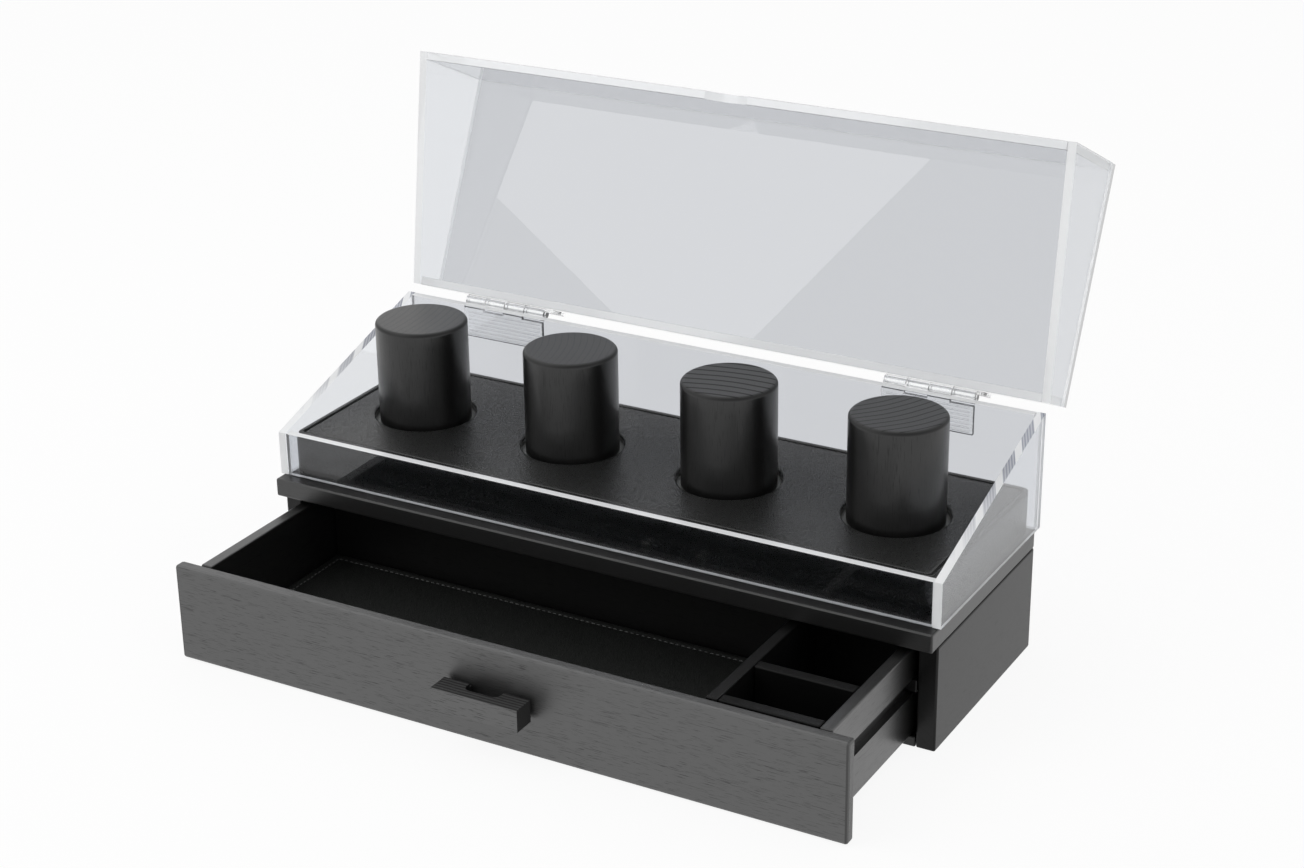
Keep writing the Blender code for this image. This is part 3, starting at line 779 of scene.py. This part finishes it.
# %% Grid helpers
def grid_faces(rows, columns, wrap=False, start=0):
    """Four-cornered faces between neighbouring points of a rows by columns grid, as an array."""
    row, column = np.meshgrid(np.arange(rows - 1), np.arange(columns if wrap else columns - 1), indexing="ij")
    after = (column + 1) % columns
    upper = (row + 1) * columns
    corners = (row * columns + column, row * columns + after, upper + after, upper + column)
    return start + np.stack([c.ravel() for c in corners], axis=1)


def make_piece(name, points, faces, material, body, slot_name, replaced=()):
    """A mesh object from point and face arrays, that rides on a body and stands for the nodes replaced."""
    mesh = bpy.data.meshes.new(name)
    mesh.from_pydata(np.asarray(points).tolist(), [], np.asarray(faces).tolist())
    mesh.validate()
    mesh.polygons.foreach_set("use_smooth", np.full(len(mesh.polygons), True))
    piece = bpy.data.objects.new(name, mesh)
    mesh.materials.append(material)
    bpy.context.scene.collection.objects.link(piece)
    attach(piece, body)
    if replaced:
        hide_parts(*replaced)
    print(name, len(mesh.polygons), "faces")
    return piece


def apply_modifiers(piece):
    """Replaces the mesh of a piece by what its modifiers make of it."""
    shown = piece.evaluated_get(bpy.context.evaluated_depsgraph_get())
    final = bpy.data.meshes.new_from_object(shown)
    piece.modifiers.clear()
    piece.data = final


# %% [markdown]
# ## Turned posts
#
# A post is a short cylinder off the lathe, with its top edge sanded to a soft shoulder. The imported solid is
# right in size but has flat facets, which show as stripes in a gloss. Here its outline, half of the post's
# section, is carried round the axis in fine steps.

# %% Post profile
SHOULDER = 2.0 * MM
FOOT_CHAMFER = 0.5 * MM
AROUND = 96
SHOULDER_STEPS = 9
SIDE_LEVELS = 9
TOP_SHARES = np.array([0.97, 0.75, 0.5, 0.25, 0.0])


def turned_post(low, high):
    """The section (foot, chamfer, side, quarter-circle shoulder, flat top) turned about the box's axis."""
    radius = (high[0] - low[0]) / 2
    turn = np.linspace(0.0, np.pi / 2, SHOULDER_STEPS)
    shoulder_r = radius - SHOULDER + SHOULDER * np.cos(turn)
    shoulder_z = high[2] - SHOULDER + SHOULDER * np.sin(turn)
    foot_r = np.array([0.0, radius - FOOT_CHAMFER, radius, radius])
    foot_z = low[2] + np.array([0.0, 0.0, FOOT_CHAMFER, 2 * FOOT_CHAMFER])
    side_z = np.linspace(foot_z[-1], shoulder_z[0], SIDE_LEVELS)[1:-1]
    top_r = (radius - SHOULDER) * TOP_SHARES
    outline_r = np.concatenate([foot_r, np.full(len(side_z), radius), shoulder_r, top_r])
    outline_z = np.concatenate([foot_z, side_z, shoulder_z, np.full(len(top_r), high[2])])
    angle = np.linspace(0.0, 2 * np.pi, AROUND, endpoint=False)
    ring = np.stack([np.cos(angle), np.sin(angle), np.zeros(AROUND)], axis=1)
    points = outline_r[:, None, None] * ring + outline_z[:, None, None] * np.array([0.0, 0.0, 1.0])
    points += np.array([(low[0] + high[0]) / 2, (low[1] + high[1]) / 2, 0.0])
    return points.reshape(-1, 3), grid_faces(len(outline_r), AROUND, wrap=True)


WELD_DISTANCE = 0.01 * MM


def weld(piece):
    """Merges doubled points, as at poles and seams, and points every face outwards."""
    shell = bmesh.new()
    shell.from_mesh(piece.data)
    bmesh.ops.remove_doubles(shell, verts=shell.verts, dist=WELD_DISTANCE)
    bmesh.ops.recalc_face_normals(shell, faces=shell.faces)
    shell.to_mesh(piece.data)
    shell.free()


# %% Posts
for name, finish in post_ash.items():
    low, high = (np.array(corner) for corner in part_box(name))
    post = make_piece(name + "_turned", *turned_post(low, high), finish, name, "black_wood", [name])
    weld(post)

# %% [markdown]
# ## Stitches
#
# A seam shows as short lengths of thread, each one diving into a hole at both ends. A stitch is a thin
# spindle bent upwards in the middle. One stitch is worked out and then placed along every seam at once.

# %% Stitch maker
STITCH_PITCH = 3.0 * MM
STITCH_LENGTH = 2.3 * MM
THREAD_RADIUS = 0.24 * MM
STITCH_RISE = 0.22 * MM
STITCH_RINGS = 6
STITCH_AROUND = 6


def stitch_line(starts, ends):
    """Middles and directions of stitches along straight seams, evenly spaced at about the pitch."""
    middles, directions = [], []
    for first, last in zip(np.asarray(starts, float), np.asarray(ends, float)):
        length = np.linalg.norm(last - first)
        count = max(1, round(length / STITCH_PITCH))
        shares = (np.arange(count) + 0.5) / count
        middles.append(first + shares[:, None] * (last - first))
        directions.append(np.repeat(((last - first) / length)[None], count, axis=0))
    return np.concatenate(middles), np.concatenate(directions)


def stitches(middles, directions):
    """Spindles along directions: the radius is the root of a sine, the axis rises by a sine arch."""
    share = np.linspace(0.0, 1.0, STITCH_RINGS + 1)
    arch = np.sin(np.pi * share)
    radius = THREAD_RADIUS * np.sqrt(arch)
    turn = np.linspace(0.0, 2 * np.pi, STITCH_AROUND, endpoint=False)
    forward = np.repeat(((share - 0.5) * STITCH_LENGTH)[:, None], STITCH_AROUND, axis=1)
    sideways = radius[:, None] * np.cos(turn)
    rise = radius[:, None] * np.sin(turn) + STITCH_RISE * arch[:, None]
    left = np.stack([-directions[:, 1], directions[:, 0], np.zeros(len(directions))], axis=1)
    points = (
        middles[:, None, None, :]
        + forward[None, :, :, None] * directions[:, None, None, :]
        + sideways[None, :, :, None] * left[:, None, None, :]
        + rise[None, :, :, None] * np.array([0.0, 0.0, 1.0])
    )
    one = grid_faces(STITCH_RINGS + 1, STITCH_AROUND, wrap=True)
    offsets = np.arange(len(middles)) * (STITCH_RINGS + 1) * STITCH_AROUND
    return points.reshape(-1, 3), (one[None] + offsets[:, None, None]).reshape(-1, 4)


# %% [markdown]
# ## The deck's leather cover
#
# Leather is glued over a board, turned down at the edges and sewn along a line about 2.5 mm in. Round holes
# let the posts through. It could be a bevelled block, but the sewn line, the rolled rims and the soft
# outer edge are what make it leather. The top is made of four cells, one round each hole: in a cell, rays
# run from the hole's rim to the cell's border. A strip with the seam and the rolled edge then runs round
# the outline.

# %% Deck cover shape
HEM = 8 * MM
SEAM_INSET = 2.5 * MM
SEAM_SINK = 0.8 * MM
SEAM_WIDTH = 0.8 * MM
GROOVE_SPREAD = 0.6
CORNER_ROUND = 4.0 * MM
EDGE_ROUND = 1.5 * MM
LEATHER = 1.1 * MM
RIM_ROUND = 1.3 * MM
RIM_DROP = 1.5 * LEATHER
HOLE_GAP = 2.3 * MM
SIDE_STEPS = 28
CELL_LEVELS = 6
CELL_CROWDING = 1.4
RIM_STEPS = 5
ROUND_STEPS = 7

deck_low, deck_high = (np.array(corner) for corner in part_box("deck_cover"))
post_boxes = [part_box(f"post_{number}") for number in range(1, 5)]
post_middles = np.array([np.mean([low, high], axis=0) for low, high in post_boxes])
post_radius = (post_boxes[0][1][0] - post_boxes[0][0][0]) / 2
hole_radius = post_radius + HOLE_GAP
print("deck in mm", np.round(deck_low * 1000, 2), np.round(deck_high * 1000, 2))
print("hole radius in mm", round(hole_radius * 1000, 2))


def rectangle_points(low, high, steps):
    """Points round a rectangle, steps on each side, from its low corner through +X."""
    shares = np.arange(steps) / steps
    (x0, y0), (x1, y1) = low, high
    front = np.stack([x0 + shares * (x1 - x0), np.full(steps, y0)], axis=1)
    right = np.stack([np.full(steps, x1), y0 + shares * (y1 - y0)], axis=1)
    back = np.stack([x1 - shares * (x1 - x0), np.full(steps, y1)], axis=1)
    left = np.stack([np.full(steps, x0), y1 - shares * (y1 - y0)], axis=1)
    return np.concatenate([front, right, back, left])


def cell_borders(low_x, high_x):
    """Where the cells meet along X: the two ends, and half-way between neighbouring posts."""
    return np.array([low_x, *((post_middles[:-1, 0] + post_middles[1:, 0]) / 2), high_x])


def deck_cell(low, high, middle):
    """One cell: each ray runs from a point of the rolled rim to a point of the border.

    The rim is a quarter circle that rolls outwards and up to the flat. Along the flat, the steps are the
    shares from 0 to 1 to the power CELL_CROWDING, so they are short beside the rim.
    """
    border = rectangle_points(low, high, SIDE_STEPS)
    outward = border - middle
    outward /= np.linalg.norm(outward, axis=1)[:, None]
    rolls = np.linspace(0.0, 1.0, RIM_STEPS)
    radii = hole_radius + RIM_ROUND * (1 - np.cos(rolls * np.pi / 2))
    heights = -RIM_ROUND * (1 - np.sin(rolls * np.pi / 2))
    lip = np.stack(
        [
            np.concatenate([middle + outward * radius, np.full((len(border), 1), height)], axis=1)
            for radius, height in zip(radii, heights)
        ]
    )
    shares = (np.arange(1, CELL_LEVELS + 1) / CELL_LEVELS) ** CELL_CROWDING
    rim = lip[-1, :, :2]
    flat = rim[None] + shares[:, None, None] * (border - rim)[None]
    level = np.zeros((CELL_LEVELS, len(border), 1))
    down = lip[0] - np.array([0.0, 0.0, RIM_DROP - RIM_ROUND])
    cell = np.concatenate([down[None], lip, np.concatenate([flat, level], axis=2)])
    return cell.reshape(-1, 3), grid_faces(len(cell), len(border), wrap=True)[:, ::-1]


def hem_profile():
    """Pairs of share of the hem's width and height: flat, the sunk seam, flat, the rolled edge, the foot.

    The seam sinks as a bell curve of the distance from it, and the edge drops as a quarter circle.
    """
    seam = HEM - SEAM_INSET
    from_seam = np.array([-2.0, -1.0, -0.5, 0.0, 0.5, 1.0, 2.0]) * SEAM_WIDTH
    offsets = np.concatenate([[0.0], seam + from_seam])
    heights = -SEAM_SINK * np.exp(-(((offsets - seam) / (GROOVE_SPREAD * SEAM_WIDTH)) ** 2))
    turn = np.linspace(0.0, np.pi / 2, ROUND_STEPS)
    rolled = HEM - EDGE_ROUND + EDGE_ROUND * np.sin(turn)
    dropped = -EDGE_ROUND * (1 - np.cos(turn))
    foot = np.array([-(deck_high[2] - deck_low[2])])
    offsets = np.concatenate([offsets, rolled, [HEM]])
    return offsets / HEM, np.concatenate([heights, dropped, foot])


def hem_strip(low, high):
    """The hem's profile carried round the outline, with rounded corners.

    Each point of the inner outline has a reach: the hem's width straight outwards along a side, and on a
    corner a square step and an arc of CORNER_ROUND. The profile's shares multiply that reach.
    """
    (x0, y0), (x1, y1) = low, high
    corners = [(x1, y0, 1, -1), (x1, y1, 1, 1), (x0, y1, -1, 1), (x0, y0, -1, -1)]
    shares = np.arange(SIDE_STEPS) / SIDE_STEPS
    borders = cell_borders(x0, x1)
    spans = list(zip(borders[:-1], borders[1:]))
    along_x = np.concatenate([a + (b - a) * shares for a, b in spans])
    back_x = np.concatenate([b - (b - a) * shares for a, b in reversed(spans)])
    along_y = y0 + (y1 - y0) * shares
    back_y = y1 - (y1 - y0) * shares
    sides = [
        (np.stack([along_x, np.full(len(along_x), y0)], axis=1), (0.0, -1.0), -90),
        (np.stack([np.full(len(along_y), x1), along_y], axis=1), (1.0, 0.0), 0),
        (np.stack([back_x, np.full(len(back_x), y1)], axis=1), (0.0, 1.0), 90),
        (np.stack([np.full(len(back_y), x0), back_y], axis=1), (-1.0, 0.0), 180),
    ]
    inner, reach = [], []
    for (points, normal, heading), (cx, cy, sx, sy) in zip(sides, corners):
        inner.append(points[1:])
        reach.append(np.repeat(np.array([normal]) * HEM, len(points) - 1, axis=0))
        fan = np.radians(heading + np.linspace(0.0, 90.0, ROUND_STEPS))
        inner.append(np.repeat(np.array([[cx, cy]]), len(fan), axis=0))
        square = np.array([sx, sy]) * (HEM - CORNER_ROUND)
        reach.append(square + CORNER_ROUND * np.stack([np.cos(fan), np.sin(fan)], axis=1))
    inner, reach = np.concatenate(inner), np.concatenate(reach)
    parts, heights = hem_profile()
    plan = inner[None] + parts[:, None, None] * reach[None]
    rise = np.repeat(heights[:, None, None], len(inner), axis=1)
    strip = np.concatenate([plan, rise], axis=2)
    return strip.reshape(-1, 3), grid_faces(len(parts), len(inner), wrap=True)[:, ::-1]


# %% Deck cover piece
inner_low, inner_high = deck_low[:2] + HEM, deck_high[:2] - HEM
borders = cell_borders(inner_low[0], inner_high[0])
cover_grids = [
    deck_cell((left, inner_low[1]), (right, inner_high[1]), middle[:2])
    for left, right, middle in zip(borders[:-1], borders[1:], post_middles)
]
cover_grids.append(hem_strip(inner_low, inner_high))
cover_points, cover_faces, count = [], [], 0
for points, faces in cover_grids:
    cover_points.append(points)
    cover_faces.append(faces + count)
    count += len(points)
cover_points = np.concatenate(cover_points) + np.array([0.0, 0.0, deck_high[2]])
cover_faces = np.concatenate(cover_faces)
deck_skin = make_piece(
    "deck_leather", cover_points, cover_faces, deck_leather, "stand", "black_leather", ["deck_cover"]
)
weld(deck_skin)
thick = deck_skin.modifiers.new("thickness", "SOLIDIFY")
thick.thickness = LEATHER
thick.offset = -1.0
apply_modifiers(deck_skin)

# %% Deck seam
# The stitches lie in the groove and stop short of each corner, where the needle turns.
DECK_THREAD_LIFT = 0.1 * MM
SEAM_CORNER = 1.5 * MM

(x0, y0), (x1, y1) = deck_low[:2] + SEAM_INSET, deck_high[:2] - SEAM_INSET
seam_z = deck_high[2] - SEAM_SINK + DECK_THREAD_LIFT
starts = [
    (x0 + SEAM_CORNER, y0, seam_z),
    (x1, y0 + SEAM_CORNER, seam_z),
    (x1 - SEAM_CORNER, y1, seam_z),
    (x0, y1 - SEAM_CORNER, seam_z),
]
ends = [
    (x1 - SEAM_CORNER, y0, seam_z),
    (x1, y1 - SEAM_CORNER, seam_z),
    (x0 + SEAM_CORNER, y1, seam_z),
    (x0, y0 + SEAM_CORNER, seam_z),
]
middles, directions = stitch_line(starts, ends)
deck_seam = make_piece("deck_seam", *stitches(middles, directions), deck_thread, "stand", "black_leather")
weld(deck_seam)
print("deck stitches", len(middles))

# %% [markdown]
# ## The drawer's padded lining
#
# Each compartment has a thin pad: leather over a sheet of foam, sewn round about 4 mm in from the edge.
# The seam pulls the leather down, the middle swells a little, and the outline draws in between its
# corners. A cloth simulation hardly moves a pad this thin, so its height is written as a function of the
# place on the pad, on a grid fine enough to show each stitch pulling.

# %% Pad shape
PAD_SEAM = 4 * MM
PAD_SINK = 0.75 * MM
PAD_DIMPLE = 0.22 * MM
PAD_GROOVE = 0.9 * MM
PAD_SWELL = 0.5 * MM
PAD_SWELL_REACH = 7 * MM
PAD_ROLL = 1.5 * MM
PAD_ROLL_SHARE = 0.55
PAD_FOOT_SHARE = 0.25
PAD_DRAW = 0.35 * MM
PAD_STEP = 1.0 * MM
PAD_LEAST_STEPS = 8
PAD_CROWDING = 0.21
PAD_WAVES = 7
PAD_WAVE_LENGTH = 26 * MM
PAD_WAVE_HEIGHT = 0.035 * MM


def toward_rim(share):
    """Shares from 0 to 1, less part of a sine of one turn, so that the points crowd toward both ends."""
    return share - PAD_CROWDING * np.sin(2 * np.pi * share) / (2 * np.pi)


def drawn_in(across, along):
    """How far a side draws in: most half-way along it, and fading fast towards the pad's middle."""
    return PAD_DRAW * np.sin(np.pi * along) ** 0.5 * np.sign(across - 0.5) * (np.abs(2 * across - 1) ** 6)


def pad_surface(low, high, seed):
    """A closed pad in a box: top and bottom grids joined at the rim.

    Top: a quarter-round edge, less a trough along the seam that is deeper at each stitch, plus a swell
    that grows as one minus a falling exponential of the distance from the seam, plus slow seeded waves.
    """
    size = high - low
    counts = np.maximum(PAD_LEAST_STEPS, np.ceil(size[:2] / PAD_STEP).astype(int))
    u, v = np.meshgrid(*(toward_rim(np.linspace(0.0, 1.0, n + 1)) for n in counts), indexing="ij")
    x = low[0] + u * size[0] - drawn_in(u, v)
    y = low[1] + v * size[1] - drawn_in(v, u)
    from_x = np.minimum(u, 1 - u) * size[0]
    from_y = np.minimum(v, 1 - v) * size[1]
    inset = np.minimum(from_x, from_y)
    along = np.where(from_x < from_y, v * size[1], u * size[0])
    pull = np.exp(-(((inset - PAD_SEAM) / PAD_GROOVE) ** 2))
    stitch = 0.5 - 0.5 * np.cos(2 * np.pi * along / STITCH_PITCH)
    past = np.clip(inset - PAD_SEAM, 0.0, None)
    swell = PAD_SWELL * (1 - np.exp(-past / PAD_SWELL_REACH))
    edge = np.clip(1 - inset / PAD_ROLL, 0.0, 1.0)
    roll = size[2] * PAD_ROLL_SHARE * (1 - np.sqrt(np.clip(1 - edge**2, 0.0, 1.0)))
    draws = np.random.default_rng(seed)
    waves = np.zeros_like(x)
    for _ in range(PAD_WAVES):
        wave = draws.uniform(-1.0, 1.0, 2) * 2 * np.pi / PAD_WAVE_LENGTH
        waves += np.sin(wave[0] * x + wave[1] * y + draws.uniform(0.0, 2 * np.pi)) * PAD_WAVE_HEIGHT
    top = high[2] - PAD_SWELL - roll - pull * (PAD_SINK + PAD_DIMPLE * stitch) + swell
    top = np.minimum(top + waves * (1 - edge), high[2])
    bottom = np.full_like(x, low[2]) + roll * PAD_FOOT_SHARE
    points = np.concatenate([np.stack([x, y, z], axis=2).reshape(-1, 3) for z in (top, bottom)])
    rows, columns = x.shape
    upper = grid_faces(rows, columns)
    lower = grid_faces(rows, columns, start=rows * columns)[:, ::-1]
    rim = np.concatenate(
        [
            np.arange(columns),
            np.arange(1, rows) * columns + columns - 1,
            (rows - 1) * columns + np.arange(columns - 2, -1, -1),
            np.arange(rows - 2, 0, -1) * columns,
        ]
    )
    after = np.roll(rim, -1)
    sides = np.stack([rim, after, after + rows * columns, rim + rows * columns], axis=1)
    return points, np.concatenate([upper, lower, sides])


# %% Pads and their seams
PAD_THREAD_LIFT = 0.12 * MM
FIRST_SEED = 11

for index, node in enumerate(("lining_long", "lining_small_front", "lining_small_back")):
    low, high = (np.array(corner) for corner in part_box(node))
    points, faces = pad_surface(low, high, seed=FIRST_SEED + index)
    pad = make_piece(node + "_pad", points, faces, pad_leather, "drawer", "black_leather", [node])
    weld(pad)
    (x0, y0), (x1, y1) = low[:2] + PAD_SEAM, high[:2] - PAD_SEAM
    z = high[2] - PAD_SWELL - PAD_SINK - PAD_DIMPLE + PAD_THREAD_LIFT
    corners = [(x0, y0, z), (x1, y0, z), (x1, y1, z), (x0, y1, z)]
    middles, directions = stitch_line(corners, corners[1:] + corners[:1])
    seam = make_piece(node + "_seam", *stitches(middles, directions), pad_thread, "drawer", "black_leather")
    weld(seam)

# %% [markdown]
# ## Moulded hinges
#
# Two clear hinges, moulded in one go, with ribs across each leaf that stiffen it and hide the glue. The
# leaf could carry the ribs as a bump, but from close by and from the side a rib is a shape. So each leaf
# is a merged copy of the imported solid, with shallow channels cut between the ribs. The plastic is clearer
# than it looks: the white lines in it are edges, ribs and knuckles that bend the light of the tent.

# %% Hinge plastic
PLASTIC_IOR = 1.45
PLASTIC_CLEARNESS = 0.98
FLOW_SIZE = 6 * MM
MILKY_TINT = "#fcfdfe"
LEAST_HAZE, MOST_HAZE = 0.03, 0.08


def moulded_plastic(name):
    """Clear plastic straight from the mould: a trace of milkiness, slow flow lines and a soft polish."""
    material, tree = new_finish(name)
    place = add(tree, "TexCoord").outputs["Object"]
    flow = add(tree, "TexNoise", {"Vector": place, "Scale": 1 / FLOW_SIZE, "Detail": 2.0})
    tint = blend_colours(tree, flow.outputs[0], colour(MILKY_TINT), colour(WHITE))
    haze = add(tree, "MapRange", {0: flow.outputs[0], 3: LEAST_HAZE, 4: MOST_HAZE})
    relief = add(tree, "Bump", {"Strength": 0.1, "Distance": CLEAR_RELIEF, "Height": flow.outputs[0]})
    clear = add(
        tree,
        "BsdfPrincipled",
        {
            "Base Color": tint,
            "Roughness": haze.outputs[0],
            "IOR": PLASTIC_IOR,
            "Transmission Weight": PLASTIC_CLEARNESS,
            "Normal": relief.outputs[0],
        },
    )
    end_clear_finish(tree, clear)
    return material


hinge_plastic = moulded_plastic("clear_moulded_plastic")
dress(hinge_plastic, "hinge_left_pin", "hinge_right_pin")
print(hinge_plastic.name, "on the pins and the leaves")

# %% Ribbed leaves
RIB_PITCH = 1.95 * MM
RIB_CHANNELS = 7
FIRST_CHANNEL = 1.6 * MM
CHANNEL_WIDTH = 0.7 * MM
CHANNEL_DEPTH = 0.3 * MM
LEAF_BORDER = 2.2 * MM
LEAF_THICKNESS = 2.0 * MM
KNUCKLE_RADIUS = 2.9 * MM
# A point on the line of the pins, about which the lid turns.
PIN_LINE = np.array([0.0, 60.4, 117.15]) * MM
SOLID_WELD = 0.002 * MM


def channel_blocks(x_low, x_high, up):
    """Flat boxes across the leaf's outer face: each lies a rib pitch beyond the last, on the leaf's plane.

    Half of each box stands in the leaf, so it cuts a channel CHANNEL_DEPTH deep.
    """
    count = RIB_CHANNELS
    outer = LEAF_THICKNESS - KNUCKLE_RADIUS
    starts = up * (KNUCKLE_RADIUS + FIRST_CHANNEL + RIB_PITCH * np.arange(count))
    ends = starts + up * CHANNEL_WIDTH
    corners = np.array([(x, y, z) for x in (0, 1) for y in (0, 1) for z in (0, 1)], float)
    x = np.where(corners[:, 0] > 0, x_high - LEAF_BORDER, x_low + LEAF_BORDER)[None].repeat(count, axis=0)
    y = np.where(corners[:, 1] > 0, outer + CHANNEL_DEPTH, outer - CHANNEL_DEPTH)[None].repeat(count, axis=0)
    z = np.where(corners[:, 2] > 0, np.maximum(starts, ends)[:, None], np.minimum(starts, ends)[:, None])
    one = np.array([(0, 1, 3, 2), (4, 6, 7, 5), (0, 4, 5, 1), (2, 3, 7, 6), (0, 2, 6, 4), (1, 5, 7, 3)])
    faces = (one[None] + 8 * np.arange(count)[:, None, None]).reshape(-1, 4)
    return np.stack([x, y, z], axis=2).reshape(-1, 3), faces


def ribbed_leaf(node, body, up, opened):
    """A merged copy of the leaf's solid, less the channels, which are turned by opened about the pin line."""
    low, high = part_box(node)
    solid = nodes[node].data.copy()
    merged = bmesh.new()
    merged.from_mesh(solid)
    bmesh.ops.remove_doubles(merged, verts=merged.verts, dist=SOLID_WELD)
    merged.to_mesh(solid)
    merged.free()
    leaf = bpy.data.objects.new(node + "_ribbed", solid)
    bpy.context.scene.collection.objects.link(leaf)
    points, faces = channel_blocks(low[0], high[0], up)
    turn = np.array(
        [[1, 0, 0], [0, math.cos(opened), -math.sin(opened)], [0, math.sin(opened), math.cos(opened)]]
    )
    points = points @ turn.T + PIN_LINE
    cutter_mesh = bpy.data.meshes.new("channels")
    cutter_mesh.from_pydata(points.tolist(), [], faces.tolist())
    cutter = bpy.data.objects.new("channels", cutter_mesh)
    bpy.context.scene.collection.objects.link(cutter)
    cut = leaf.modifiers.new("channels", "BOOLEAN")
    cut.operation = "DIFFERENCE"
    cut.solver = "EXACT"
    cut.object = cutter
    apply_modifiers(leaf)
    bpy.data.objects.remove(cutter)
    leaf.data.materials.clear()
    leaf.data.materials.append(hinge_plastic)
    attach(leaf, body)
    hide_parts(node)
    print(leaf.name, len(leaf.data.polygons), "faces")
    return leaf


for side in ("left", "right"):
    ribbed_leaf(f"hinge_{side}_case_leaf", "stand", -1, 0.0)
    ribbed_leaf(f"hinge_{side}_lid_leaf", "lid", 1, -LID_ANGLE)
